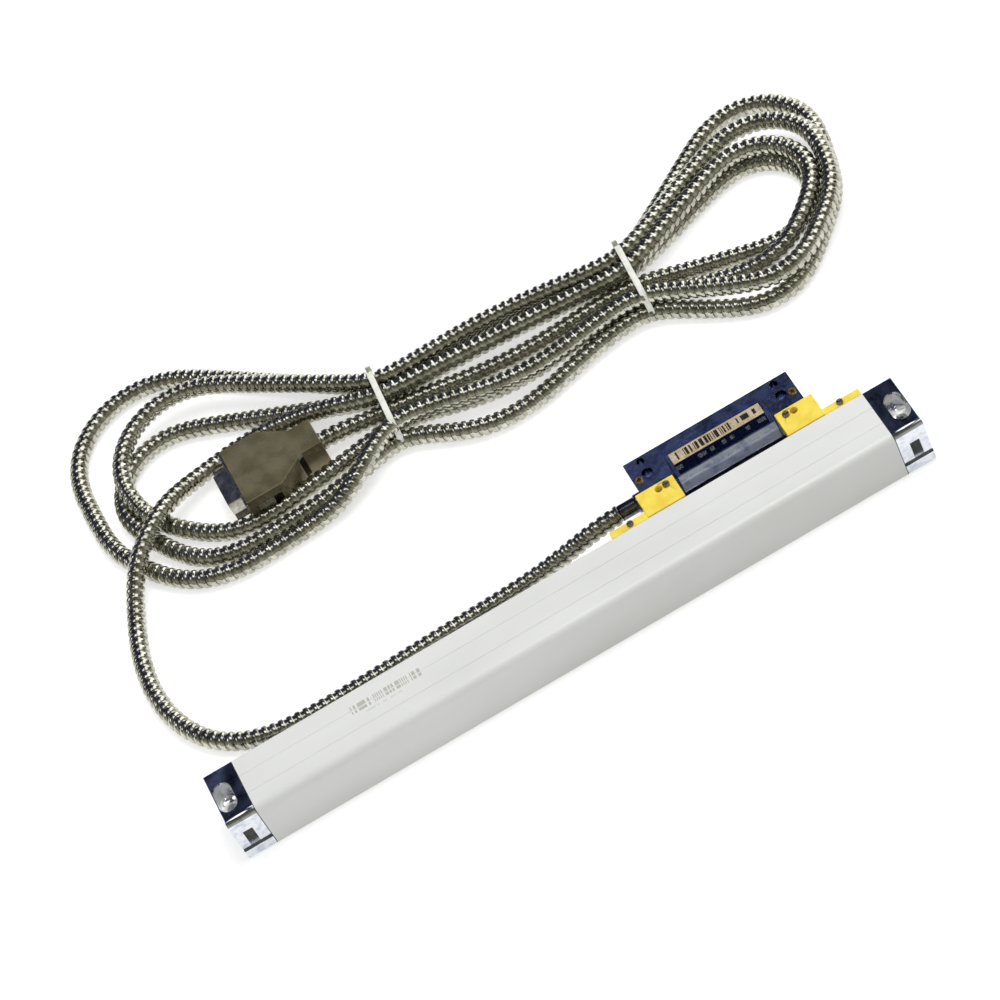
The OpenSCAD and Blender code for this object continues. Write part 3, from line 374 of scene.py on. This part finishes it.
# ---- Reader head ----
# The head is a zinc casting with the same bright plating. A pressed alloy cover closes its underside over
# a seal, held by four small screws.
def reader_head():
    # Bright chrome, a shade bluer than on the caps, in clouds a few millimetres across. The floors of
    # the mounting holes are painted near black as painted shade
    chrome, tree, shader = surface("chrome_on_head_casting", "C9CEDD", 0.09, 1.0)
    z = add(tree, "SeparateXYZ", [place_of(tree)]).outputs["Z"]
    clouds = add(tree, "MapRange", [speckle(tree, 3.2, 4, (0.7, 1, 1)), 0.42, 0.72],
                 interpolation_type="SMOOTHSTEP")
    plated = add(tree, "Mix", {0: clouds, 6: "BCC3D8", 7: "8F99BC"}, data_type="RGBA")
    # Painted shade: faces that look upward and lie below the plate top are painted near black
    face = add(tree, "NewGeometry").outputs["True Normal"]
    up = add(tree, "SeparateXYZ", [face]).outputs["Z"]
    level, plate_top = 0.9, 19.4
    painted_hole_shade = overlap(tree, add(tree, "Math", [up, level], operation="GREATER_THAN"),
                   add(tree, "Math", [z, plate_top], operation="LESS_THAN"))
    colour = add(tree, "Mix", {0: painted_hole_shade, 6: plated, 7: "26262C"}, data_type="RGBA")
    join(tree, colour, shader.inputs["Base Color"])
    gloss(tree, shader, speckle(tree, 1.2, 4), 0.05, 0.2)
    relief(tree, shader, speckle(tree, 8, 0), 0.22)
    dress(chrome, "reader_housing", edge=0.35)

    # Pressed alloy sheet: a soft sheen with the rolling lines of the sheet, drawn 0.2 mm wide
    sheet, tree, shader = surface("pressed_alloy_sheet", "B9BBBD", 0.35, 1.0)
    mottle(tree, shader, speckle(tree, 6, 4), "C2C3C4", "A3A5A8")
    gloss(tree, shader, speckle(tree, 0.3, 3, (0.05, 1, 1)), 0.28, 0.45)
    relief(tree, shader, speckle(tree, 0.2, 3, (0.03, 1, 1)), 0.004)
    dress(sheet, "reader_cover", edge=0.15)


reader_head()


# ---- Label ----
# Printed metallised foil on the head's raised block. The far half is beige with dark bars; the near half
# shows dark metal with a row of small pale marks. The bars and marks carry no words.
def label_plate():
    # Metallised foil: paper-like where beige ink covers it, a dark mirror where only blue lacquer does
    foil, tree, shader = surface("printed_foil", "CDBB9B", 0.32, 0.2)
    x, y, _ = add(tree, "SeparateXYZ", [place_of(tree)]).outputs
    middle_y = 27.4
    far = add(tree, "Math", [y, middle_y], operation="GREATER_THAN")
    tall_bars = printed_bars(tree, x, y, (64, 87.5, 28.4, 32.2), 0.36, 0.48)
    short_bars = printed_bars(tree, x, y, (89, 99, 29.2, 31.8), 0.62, 0.42)
    dark = add(tree, "Math", [tall_bars, short_bars], operation="MAXIMUM")
    share = add(tree, "MapRange", [speckle(tree, 3, 4), 0.3, 0.7], interpolation_type="SMOOTHSTEP")
    paper = add(tree, "Mix", {0: share, 6: "D6C6A8", 7: "BBA98A"}, data_type="RGBA")
    printed = add(tree, "Mix", {0: dark, 6: paper, 7: "2A2622"}, data_type="RGBA")
    past_left, past_right, mark_strength = 0, 200, 0.7
    marks = printed_bars(tree, x, y, (past_left, past_right, 24.0, 26.0), 1.7, 0.5)
    marks = overlap(tree, marks, mark_strength)
    lacquered = add(tree, "Mix", {0: marks, 6: "1D2744", 7: "A7ADB4"}, data_type="RGBA")
    colour = add(tree, "Mix", {0: far, 6: lacquered, 7: printed}, data_type="RGBA")
    join(tree, colour, shader.inputs["Base Color"])
    ink_hides = 0.8
    metal = add(tree, "Math", [1.0, overlap(tree, far, ink_hides)], operation="SUBTRACT")
    join(tree, metal, shader.inputs["Metallic"])
    gloss(tree, shader, speckle(tree, 0.7, 4), 0.2, 0.4)
    relief(tree, shader, speckle(tree, 6, 0), 0.06)
    dress(foil, "label_plate", edge=0.08)


label_plate()


# ---- Levelling screws ----
# Turned brass set screws with a hexagon socket, one at each end of the head. They set its height once.
def levelling_screws():
    # Turned brass: warm yellow, tarnished brown in small clouds
    brass, tree, shader = surface("turned_brass", "C7A862", 0.25, 0.85)
    mottle(tree, shader, speckle(tree, 0.7, 4), "CFB26D", "8F7440")
    gloss(tree, shader, speckle(tree, 0.3, 3), 0.18, 0.38)
    relief(tree, shader, speckle(tree, 0.15, 2), 0.008)
    dress(brass, "levelling_screws", edge=0.15)


levelling_screws()


# ---- Coupling and carriage ----
# A ground steel blade passes through the lips to a black anodised carriage, pressed to the glass by a
# leaf spring. Five small bearings on ground pins carry it.
def carriage():
    # Ground spring steel: a grey sheen with grinding lines along the strip, drawn 0.2 mm wide
    spring, tree, shader = surface("ground_spring_steel", "AFB0B4", 0.28, 1.0)
    grinding = speckle(tree, 0.2, 3, (0.04, 1, 1))
    mottle(tree, shader, grinding, "B9BABD", "92949A")
    gloss(tree, shader, grinding, 0.2, 0.36)
    relief(tree, shader, grinding, 0.004)
    dress(spring, "coupling_blade", "coupling_spring", edge=0.08)

    # Black anodising: dark grey with a dull metal sheen
    dark, tree, shader = surface("black_anodised_alloy", "2E2F32", 0.4, 0.5)
    mottle(tree, shader, speckle(tree, 3, 4), "35363A", "232427")
    gloss(tree, shader, speckle(tree, 0.5, 3), 0.32, 0.5)
    relief(tree, shader, speckle(tree, 0.15, 3), 0.005)
    dress(dark, "carriage_frame", edge=0.15)

    # Ground bearing steel: nearly a mirror, with an oil film that dulls it here and there
    bearing, tree, shader = surface("ground_bearing_steel", "C2C3C7", 0.14, 1.0)
    mottle(tree, shader, speckle(tree, 0.6, 3), "C9CACD", "A2A4AA")
    gloss(tree, shader, speckle(tree, 0.4, 3), 0.08, 0.22)
    dress(bearing, "coupling_pin", "bearing_pins", "face_bearing_left", "face_bearing_right",
          "face_bearing_middle", "edge_bearing_left", "edge_bearing_right", edge=0.06)


carriage()


# ---- Boards, diodes and lamp ----
# Glass fibre boards with solder mask and tinned pads. Silicon dies on one of them read the light that a
# small moulded lamp on the other sends through the glass.
def electronics():
    # Solder mask: glossy green over copper, with round tinned pads about 1.7 mm apart
    board, tree, shader = surface("solder_mask_board", "14532D", 0.4, 0.0, IOR=1.5)
    pad_pitch = 1 / 0.6
    pads = add(tree, "TexVoronoi", {"Vector": place_of(tree), "Scale": 1 / pad_pitch}, feature="F1")
    copper = add(tree, "MapRange", [speckle(tree, 1.5, 3), 0.45, 0.55], interpolation_type="SMOOTHSTEP")
    green = add(tree, "Mix", {0: copper, 6: "12502B", 7: "1B6638"}, data_type="RGBA")
    mottle(tree, shader, pads, green, "C9C5B6", 0.22, 0.16)
    gloss(tree, shader, speckle(tree, 0.4, 3), 0.3, 0.5)
    relief(tree, shader, speckle(tree, 0.3, 2), 0.01)
    dress(board, "signal_board", "photodiode_board", "lamp_board", edge=0.08)

    # Polished silicon: almost black and shiny
    die, tree, shader = surface("silicon_die", "15161F", 0.18, 0.0, IOR=1.55)
    mottle(tree, shader, speckle(tree, 0.5, 3), "1B1C2A", "0E0F16")
    gloss(tree, shader, speckle(tree, 0.3, 3), 0.1, 0.3)
    dress(die, "photodiodes", edge=0.05)

    # Moulded acrylic: warm, half clear and shiny
    lens, tree, shader = surface("moulded_lens", "F3EED2", 0.08, 0.0, IOR=1.49, Transmission_Weight=0.6)
    mottle(tree, shader, speckle(tree, 0.6, 3), "F6F1D8", "E3DAB0")
    gloss(tree, shader, speckle(tree, 0.4, 3), 0.05, 0.14)
    dress(lens, "lamp_led", edge=0.1)


electronics()


# ---- Transport brackets ----
# Moulded spacers that hold the head at its height until it is fitted, each held by a small slotted screw
# in the head and one in its thin tab.
def brackets():
    # Moulded plastic: satin yellow, with the fine skin of the mould
    yellow, tree, shader = surface("satin_yellow_plastic", "F2D64E", 0.38, 0.0, IOR=1.48)
    mottle(tree, shader, speckle(tree, 6, 4), "FCE45C", "F0CF47", 0.35, 0.75)
    gloss(tree, shader, speckle(tree, 0.6, 4), 0.3, 0.46)
    relief(tree, shader, speckle(tree, 0.5, 2), 0.012)
    dress(yellow, "bracket_left", "bracket_right", edge=0.3)

    # Steel dulled by handling: brownish, with little gleam left
    worn, tree, shader = surface("dulled_screw_steel", "7C7366", 0.34, 0.7)
    mottle(tree, shader, speckle(tree, 0.5, 4), "A79C8A", "5A5144", 0.35, 0.65)
    gloss(tree, shader, speckle(tree, 0.25, 3), 0.24, 0.46)
    relief(tree, shader, speckle(tree, 0.12, 2), 0.008)
    dress(worn, "bracket_screws", "tab_screws", edge=0.12)


brackets()


# ---- Cable gland ----
# A turned brass sleeve with a dark nickel plate, screwed into the end of the head over the hose. It clamps
# the hose, so that a pull on the cable never reaches the board.
def ridges(tree, along, pitch):
    """Even ridges across an axis, one in each pitch."""
    angle = add(tree, "Math", [along, 2 * math.pi / pitch], operation="MULTIPLY")
    return add(tree, "Math", [angle], operation="SINE")


def cable_gland():
    # Dark nickel: a smoky mirror with turning marks round it, drawn 0.7 mm apart
    nickel, tree, shader = surface("dark_nickel_plate", "6F6F78", 0.12, 1.0)
    x = add(tree, "SeparateXYZ", [place_of(tree)]).outputs["X"]
    mottle(tree, shader, speckle(tree, 1.5, 4), "84848C", "55565F")
    gloss(tree, shader, speckle(tree, 0.8, 3), 0.07, 0.2)
    relief(tree, shader, ridges(tree, x, 0.698), 0.012)
    dress(nickel, "cable_gland", edge=0.3)


cable_gland()


# ---- Armoured hose ----
# A strip of stainless steel, folded at both edges and wound in a helix so that each turn hooks into the
# next. It is one length from gland to plug: along the housing, round its left end, then laid in a hank of
# eight passes with a loop at each end, drawn together by two ties.
hose_d, hose_pitch = 7.4, 3.5
gland_mouth = (36, 29.2, 14.6)
tie_left, tie_right = np.array((-19.0, 141.0)), np.array((90.5, 133.0))
run_length = float(np.linalg.norm(tie_right - tie_left))
along_run = (tie_right - tie_left) / run_length
across_run = np.array((-along_run[1], along_run[0]))

# The strip's radius at its crests and in its grooves
crest_r, groove_r = hose_d / 2 + 0.15, hose_d / 2 - 0.6

# Heights of the hose's middle: on the surface, on another strand, and in the two layers at the ties
tie_lift = 1.2
floor_z, riding_z = crest_r, 11.35
low_z = hose_d / 2 + tie_lift
high_z = low_z + hose_d * math.sqrt(3) / 2

# Each pass between the ties, L in the lower layer and H in the upper one: offset across the run, height,
# how far it bellies sideways, and the exponent that moves the belly along the run
passes = {"L1": (14.8, low_z, 4, 0.95), "L2": (7.4, low_z, 2.4, 0.95), "L3": (0.0, low_z, -4, 0.95),
          "L4": (-7.4, low_z, -8, 0.85), "L5": (-14.8, low_z, -16, 0.7), "H1": (11.1, high_z, 4.2, 0.95),
          "H2": (3.7, high_z, 1, 1.0), "H3": (-11.1, high_z, -8, 0.98)}

# Each loop: the pass that it leaves, the rollers that it is laid round as (distance from the tie, offset,
# radius), the pass that it joins, and its height at shares of its length
right_loops = [
    ("H2", [(60, 11, 22.8), (49, 1.5, 24)], "L4",
     [(0, high_z), (0.62, riding_z), (0.85, floor_z), (0.93, floor_z), (1, low_z)]),
    ("H1", [(64.5, 20, 25.8), (63, 5, 25.3), (50, -11, 24)], "H3",
     [(0, high_z), (0.25, 9.8), (0.45, riding_z), (0.82, riding_z), (1, high_z)]),
    ("L1", [(67.2, 35.5, 26.3), (63, 9, 26), (45, -13.8, 25)], "L5",
     [(0, low_z), (0.1, floor_z), (0.9, floor_z), (1, low_z)]),
    ("L2", [(58, 9.3, 22.8)], "L3", [(0, low_z), (0.1, floor_z), (0.9, floor_z), (1, low_z)])]
left_loops = [
    ("L4", [(76, 23, 32.3), (66, 7.5, 28)], "H1",
     [(0, low_z), (0.08, floor_z), (0.39, floor_z), (0.51, riding_z), (1, high_z)]),
    ("H3", [(89.5, 38, 36.3), (92, 10.5, 31.5), (77, 1, 38.5), (38, -6, 27)], "L1",
     [(0, high_z), (0.03, 12.2), (0.06, 11.6), (0.13, floor_z), (0.95, floor_z), (1, low_z)]),
    ("L5", [(86, 16.5, 27), (74, -1, 28.5), (40, -4, 22)], "L2",
     [(0, low_z), (0.08, floor_z), (0.95, floor_z), (1, low_z)])]


def belt(start, end, rollers):
    """Points from start to end, clockwise round the rollers, in distance from the tie and offset."""
    arc_step, straight_step = 9, 13
    circles = [(np.array(roller[:2], float), roller[2]) for roller in rollers]

    def touch(point, centre, radius):
        away = np.array(point) - centre
        return math.atan2(away[1], away[0]), math.acos(radius / np.hypot(*away))

    points = [np.array(start, float)]
    facing, half = touch(start, *circles[0])
    enter = facing - half
    for i, (centre, radius) in enumerate(circles):
        if i + 1 < len(circles):
            next_centre, next_radius = circles[i + 1]
            step = next_centre - centre
            leave = math.atan2(step[1], step[0]) + math.acos((radius - next_radius) / np.hypot(*step))
        else:
            facing, half = touch(end, centre, radius)
            leave = facing + half
        sweep = (enter - leave) % (2 * math.pi)
        count = max(2, round(sweep * radius / arc_step))
        for k in range(count + 1):
            angle = enter - sweep * k / count
            points.append(centre + radius * np.array((math.cos(angle), math.sin(angle))))
        enter = leave
    points.append(np.array(end, float))

    filled = [points[0]]
    for a, b in zip(points[:-1], points[1:]):
        count = max(1, math.ceil(np.hypot(*(b - a)) / straight_step))
        filled += [a + (b - a) * k / count for k in range(1, count + 1)]
    return filled


def reach(points):
    """Length along a line up to each of its points."""
    return np.concatenate([[0], np.cumsum(np.linalg.norm(np.diff(points, axis=0), axis=1))])


def laid_loop(points, tie, side, heights):
    """A loop's points in the row frame, without its two ends at the tie."""
    share = reach(points) / reach(points)[-1]
    z = np.interp(share, [h[0] for h in heights], [h[1] for h in heights])
    placed = [tie + side * p[0] * along_run + p[1] * across_run for p in points]
    return [(p[0], p[1], h) for p, h in zip(placed, z)][1:-1]


def laid_run(name, rightwards):
    """A pass from tie to tie, which sags to the surface and bellies sideways between them."""
    offset, height, belly, skew = passes[name]
    count = 12
    points = []
    for share in np.linspace(0, 1, count):
        share = share if rightwards else 1 - share
        out = offset + belly * math.sin(math.pi * share ** skew) ** 2
        place = tie_left + run_length * share * along_run + out * across_run
        points.append((place[0], place[1], height - (low_z - floor_z) * math.sin(math.pi * share) ** 2))
    return points


def hose_route():
    """Points from the gland to the plug."""
    lead = [gland_mouth, (30, 29.2, 14.2), (22, 29.4, 12.6), (12, 30, 9.4), (2, 30.6, 6.2), (-8, 31, 4.4),
            (-20, 31, 3.8), (-46, 30.2, 3.8), (-72, 29.2, 3.8), (-98, 28.8, 3.8), (-109, 29.2, 3.8),
            (-118.4, 30.4, 3.8), (-126.4, 32.6, 3.8), (-134, 37, 3.8), (-141.2, 44, 3.8),
            (-147, 54.4, 3.8), (-150.6, 67, 3.8), (-151.6, 80, 3.8), (-150.4, 93, 3.8),
            (-147.8, 104.8, 3.8), (-144.6, 114.6, 3.8)]
    rise = [(-141.4, 121.6, 6.2), (-137.6, 128.6, 9.2), (-133.2, 134.4, 11.3), (-128.6, 139, 12.1),
            (-122, 145.2, 12.2), (-114.4, 151.2, 11.8), (-105.6, 156.2, 9.4), (-95, 160.4, 6.2),
            (-82, 164, 5.0), (-68, 164, 5.8), (-54, 160.4, 8.0), (-40, 154.4, 10.2)]
    route = lead + rise
    for i, (far, rollers, near, heights) in enumerate(right_loops):
        turn = belt((0, passes[far][0]), (0, passes[near][0]), rollers)
        route += laid_run(far, True) + laid_loop(turn, tie_right, 1, heights) + laid_run(near, False)
        if i < len(left_loops):
            near, rollers, far, heights = left_loops[i]
            turn = belt((0, passes[far][0]), (0, passes[near][0]), rollers)[::-1]
            route += laid_loop(turn, tie_left, -1, heights)
    past_tie, aside = 10, 0.1
    end_run = tie_left - past_tie * along_run + aside * across_run
    return route + [(end_run[0], end_run[1], 5.4), (-40, 143, 7.3), (-48, 143, 7.5), (-54, 143, 7.5)]


def evenly(points, step):
    """The same line with its points a step apart."""
    total = reach(points)[-1]
    wanted = np.linspace(0, total, int(round(total / step)) + 1)
    return np.stack([np.interp(wanted, reach(points), points[:, i]) for i in range(3)], 1)


def relaxed(points, step, stiff):
    """The route as the hose's stiffness rounds it: a spline, averaged over that many millimetres."""
    p = np.array(points, float)
    last, cuts = len(p) - 1, 12
    fine = []
    for i in range(last):
        a, b, c, d = p[max(i - 1, 0)], p[i], p[i + 1], p[min(i + 2, last)]
        for t in np.arange(cuts) / cuts:
            fine.append(0.5 * (2 * b + (c - a) * t + (2 * a - 5 * b + 4 * c - d) * t ** 2
                               + (3 * b - a - 3 * c + d) * t ** 3))
    p = evenly(np.array(fine + [p[-1]]), step)
    wide = int(3 * stiff / step)
    kernel = np.exp(-0.5 * (np.arange(-wide, wide + 1) * step / stiff) ** 2)
    kernel /= kernel.sum()
    p = np.concatenate([2 * p[0] - p[wide:0:-1], p, 2 * p[-1] - p[-2:-wide - 2:-1]])
    return np.stack([np.convolve(p[:, i], kernel, "valid") for i in range(3)], 1)


def steady_frame(line):
    """Two directions across the line at each point, which don't twist along it."""
    heading = np.gradient(line, axis=0)
    heading /= np.linalg.norm(heading, axis=1)[:, None]
    side = np.zeros_like(line)
    side[0] = np.cross(heading[0], (0, 0, 1))
    for i in range(1, len(line)):
        s = side[i - 1] - heading[i] * side[i - 1].dot(heading[i])
        side[i] = s / np.linalg.norm(s)
    return side, np.cross(side, heading)


def mesh_piece(name, points, faces, material, body, smooth_angle):
    """A mesh object in the row frame that rides on a body; points are in millimetres."""
    data = bpy.data.meshes.new(name)
    data.from_pydata([tuple(np.array(p) * mm) for p in points], [], faces)
    net = bmesh.new()
    net.from_mesh(data)
    bmesh.ops.recalc_face_normals(net, faces=net.faces)
    net.to_mesh(data)
    net.free()
    data.materials.append(material)
    made = bpy.data.objects.new(name, data)
    bpy.context.scene.collection.objects.link(made)
    data.shade_smooth()
    data.set_sharp_from_angle(angle=math.radians(smooth_angle))
    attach(made, body)
    return made


def hose_steel():
    # Bright wound strip: a mirror with drawing lines round each turn, and painted shade that darkens the
    # grooves a little. The lines are drawn three to a turn so that they show
    steel, tree, shader = surface("strip_wound_stainless", "A9A892", 0.2, 1.0)
    groove = add(tree, "Attribute", attribute_name="groove", attribute_type="GEOMETRY").outputs["Fac"]
    lay = add(tree, "Attribute", attribute_name="lay", attribute_type="GEOMETRY").outputs["Fac"]
    drawn = mottle(tree, shader, speckle(tree, 5, 3), "CBCABC", "A1A092")
    # Painted shade: the colour darkens towards 77756A down in the grooves
    colour = add(tree, "Mix", {0: overlap(tree, groove, 0.35), 6: drawn, 7: "77756A"}, data_type="RGBA")
    join(tree, colour, shader.inputs["Base Color"])
    gloss(tree, shader, speckle(tree, 1.2, 4), 0.12, 0.26)
    relief(tree, shader, ridges(tree, lay, 1 / 3), 0.012)
    return steel


def armoured_hose(line):
    """The strip's helix along the line. A row of points goes once round and ends where the next turn is."""
    total = float(reach(line)[-1])
    side, upward = steady_frame(line)

    # Section of the strip, as share of the pitch and radius: a rounded crest, then a steep-sided groove
    fold, shoulder = 0.22, 0.06
    profile = [(0.0, crest_r - fold), (0.13, crest_r - shoulder), (0.29, crest_r),
               (0.45, crest_r - shoulder), (0.58, crest_r - fold), (0.63, groove_r), (0.95, groove_r)]
    sides, jump = 22, len(profile)
    turns = int(total / hose_pitch)
    rows = [(hose_pitch * (t + share), r) for t in range(-1, turns + 1) for share, r in profile]
    start, radius = (np.array(column)[:, None] for column in zip(*rows))
    place = np.clip(start + hose_pitch * np.arange(sides) / sides, 0, total)
    angle = 2 * math.pi * np.arange(sides) / sides

    def at(field):
        return np.stack([np.interp(place, reach(line), field[:, i]) for i in range(3)], 2)

    outward = np.cos(angle)[:, None] * at(side) - np.sin(angle)[:, None] * at(upward)
    points = at(line) + radius[..., None] * outward

    faces = []
    for i in range(len(rows) - 1):
        row, after = i * sides, (i + 1) * sides
        faces += [(row + k, row + k + 1, after + k + 1, after + k) for k in range(sides - 1)]
        if i + jump + 1 < len(rows):
            faces.append((row + sides - 1, row + jump * sides, after + jump * sides, after + sides - 1))

    made = mesh_piece("armoured_hose", points.reshape(-1, 3), faces, hose_steel(), "reader", 35)
    # This attribute carries painted shade: how far each point lies down into a groove
    groove_edge = 0.3
    depth = np.clip((crest_r - groove_edge - radius) / groove_edge, 0, 1)
    for name, values in (("groove", np.repeat(depth, sides)), ("lay", (place / hose_pitch).reshape(-1))):
        field = made.data.attributes.new(name, "FLOAT", "POINT")
        field.data.foreach_set("value", values.astype(np.float32))
    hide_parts("hose_lead", "hose_hank")
    return made, total


coarse_step, fine_step, hose_stiffness = 2.0, 1.0, 7.5
hose_line = evenly(relaxed(hose_route(), coarse_step, hose_stiffness), fine_step)
hose_piece, hose_length = armoured_hose(hose_line)


# ---- Nylon ties ----
# Two moulded ties pull the passes together. Each band follows the bundle's outline; the ratchet head
# stands at the far side with the tail through it.
def half_hull(points):
    """The lower or upper half of a hull around sorted points."""
    made = []
    for p in points:
        while len(made) > 1 and ((made[-1][0] - made[-2][0]) * (p[1] - made[-2][1])
                                 <= (made[-1][1] - made[-2][1]) * (p[0] - made[-2][0])):
            made.pop()
        made.append(p)
    return made[:-1]


def chamfered_block(centre, size, chamfer, first):
    """Points and faces of a box with its edges cut; the faces count from the first point's number."""
    half = np.array(size) / 2
    corners = list(itertools.product((-1, 1), repeat=3))
    points = [np.array(centre) + np.array(corner) * (half - chamfer * (np.arange(3) != axis))
              for corner in corners for axis in range(3)]
    number = {(corner, axis): first + 3 * i + axis for i, corner in enumerate(corners) for axis in range(3)}

    def corner_at(signs):
        return tuple(signs[axis] for axis in range(3))

    faces = [tuple(number[corner, axis] for axis in range(3)) for corner in corners]
    for a, b, c in ((0, 1, 2), (1, 0, 2), (2, 0, 1)):
        for sign in (-1, 1):
            around = [corner_at({a: sign, b: p, c: q}) for p, q in ((-1, -1), (1, -1), (1, 1), (-1, 1))]
            faces.append(tuple(number[corner, a] for corner in around))
    for a, b, c in ((0, 1, 2), (0, 2, 1), (1, 2, 0)):
        for p, q in itertools.product((-1, 1), repeat=2):
            start, end = (corner_at({a: p, b: q, c: r}) for r in (-1, 1))
            faces.append((number[start, a], number[start, b], number[end, b], number[end, a]))
    return points, faces


def tie_nylon():
    # Natural nylon: milky white, satin, with a little light inside it
    nylon, tree, shader = surface("natural_nylon", "F0F1E8", 0.36, 0.0, IOR=1.53, Subsurface_Weight=0.1,
                                  Subsurface_Scale=0.8 * mm)
    mottle(tree, shader, speckle(tree, 4, 3), "F4F5ED", "E4E6DA", 0.35, 0.7)
    gloss(tree, shader, speckle(tree, 0.5, 3), 0.28, 0.44)
    relief(tree, shader, speckle(tree, 0.25, 3), 0.008)
    return nylon


def nylon_tie(name, middle, nylon):
    """One tie round the bundle at that place. Its points are (across the run, up, along the run)."""
    hose_r, sides = hose_d / 2, 32
    turn = 2 * math.pi * np.arange(sides) / sides
    cloud = sorted({(round(offset + hose_r * math.cos(t), 4), round(height + hose_r * math.sin(t), 4))
                    for offset, height, *_ in passes.values() for t in turn})
    outline = np.array(half_hull(cloud) + half_hull(cloud[::-1]))
    edge = np.roll(outline, -1, 0) - np.roll(outline, 1, 0)
    outward = np.stack([edge[:, 1], -edge[:, 0]], 1) / np.linalg.norm(edge, axis=1)[:, None]

    # The band's section, as half its width and height off the bundle, with rounded edges
    wide, thick, round_r, clear = 1.25, 1.05, 0.3, 0.05
    near = 0.3 * round_r
    section = [(-wide, clear), (-wide, thick - round_r), (near - wide, thick - near),
               (round_r - wide, thick), (wide - round_r, thick), (wide - near, thick - near),
               (wide, thick - round_r), (wide, clear)]
    points = [(*(o + t * n), w) for o, n in zip(outline, outward) for w, t in section]
    loops, ring = len(outline), len(section)
    faces = []
    for i, k in itertools.product(range(loops), range(ring)):
        row, after, beside = i * ring, (i + 1) % loops * ring, (k + 1) % ring
        faces.append((row + k, after + k, after + beside, row + beside))

    # Ratchet head, upright tail and its teeth: how far out and up each stands, its size and its chamfer
    far_side = max(offset for offset, *_ in passes.values()) + hose_r
    teeth, first_tooth, tooth_pitch = 5, 6.6, 0.75
    ratchet_head = (1.95, 3.4, (3.6, 4.2, 4.6), 0.45)
    tail = (3.2, 5.9, (0.9, 9.0, 2.3), 0.25)
    blocks = [ratchet_head, tail]
    blocks += [(3.7, first_tooth + tooth_pitch * k, (0.18, 0.35, 1.5), 0.05) for k in range(teeth)]
    for out, up, size, chamfer in blocks:
        more_points, more_faces = chamfered_block((far_side + out, up, 0), size, chamfer, len(points))
        points += more_points
        faces += more_faces

    placed = []
    for out, up, onward in points:
        flat = middle + out * across_run + onward * along_run
        placed.append((flat[0], flat[1], up))
    made = mesh_piece(name + "_moulding", placed, faces, nylon, "reader", 40)
    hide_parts(name)
    return made


nylon = tie_nylon()
ties = [nylon_tie("zip_tie_left", tie_left, nylon), nylon_tie("zip_tie_right", tie_right, nylon)]


# ---- Connector ----
# A nine way D plug: a cast hood in two halves, a pressed shell, a moulded insert, nine pins and two
# knurled jack screws that turn by hand. It lies inside the left loop.
def connector():
    # Dull nickel over the casting: olive grey and satin, with slow waves
    nickel, tree, shader = surface("nickel_on_cast_hood", "857B5E", 0.3, 0.55)
    mottle(tree, shader, speckle(tree, 9, 1), "8C8468", "746B50", 0.3, 0.75)
    gloss(tree, shader, speckle(tree, 5, 1), 0.22, 0.36)
    relief(tree, shader, speckle(tree, 8, 0), 0.2)
    dress(nickel, "connector_hood_lower", "connector_hood_upper", edge=0.5)

    # Tinned steel: pale and bright, with soft edges between dull and shiny
    tin, tree, shader = surface("tinned_pressed_steel", "D8D3C8", 0.2, 1.0)
    mottle(tree, shader, speckle(tree, 2, 4), "DEDACF", "B9B3A5")
    gloss(tree, shader, speckle(tree, 4, 1), 0.16, 0.28)
    relief(tree, shader, speckle(tree, 4, 0), 0.02)
    dress(tin, "connector_flange", edge=0.15)

    # Glass filled nylon: black, with the dull grain of the fibres
    moulded, tree, shader = surface("glass_filled_nylon", "17171A", 0.45, 0.0, IOR=1.53)
    mottle(tree, shader, speckle(tree, 0.8, 4), "1D1D21", "0F0F12")
    gloss(tree, shader, speckle(tree, 0.3, 3), 0.36, 0.55)
    relief(tree, shader, speckle(tree, 0.2, 3), 0.008)
    dress(moulded, "connector_insert", edge=0.12)

    # Gold flash on brass: yellow and shiny
    gold, tree, shader = surface("gold_flashed_brass", "E3BA62", 0.22, 1.0)
    mottle(tree, shader, speckle(tree, 0.8, 3), "E8C274", "C4984A")
    gloss(tree, shader, speckle(tree, 0.4, 3), 0.14, 0.3)
    dress(gold, "connector_pins", edge=0.08)

    # Knurled and plated steel: grey, with ridges drawn 0.5 mm apart
    knurled, tree, shader = surface("knurled_plated_steel", "A8A49B", 0.3, 1.0)
    z = add(tree, "SeparateXYZ", [place_of(tree)]).outputs["Z"]
    mottle(tree, shader, speckle(tree, 0.8, 3), "B5B1A6", "7F7A6E")
    gloss(tree, shader, speckle(tree, 0.4, 3), 0.2, 0.4)
    knurl_pitch = 0.5236
    relief(tree, shader, ridges(tree, z, knurl_pitch), 0.05)
    dress(knurled, "jack_screw_left", "jack_screw_right", edge=0.2)


connector()
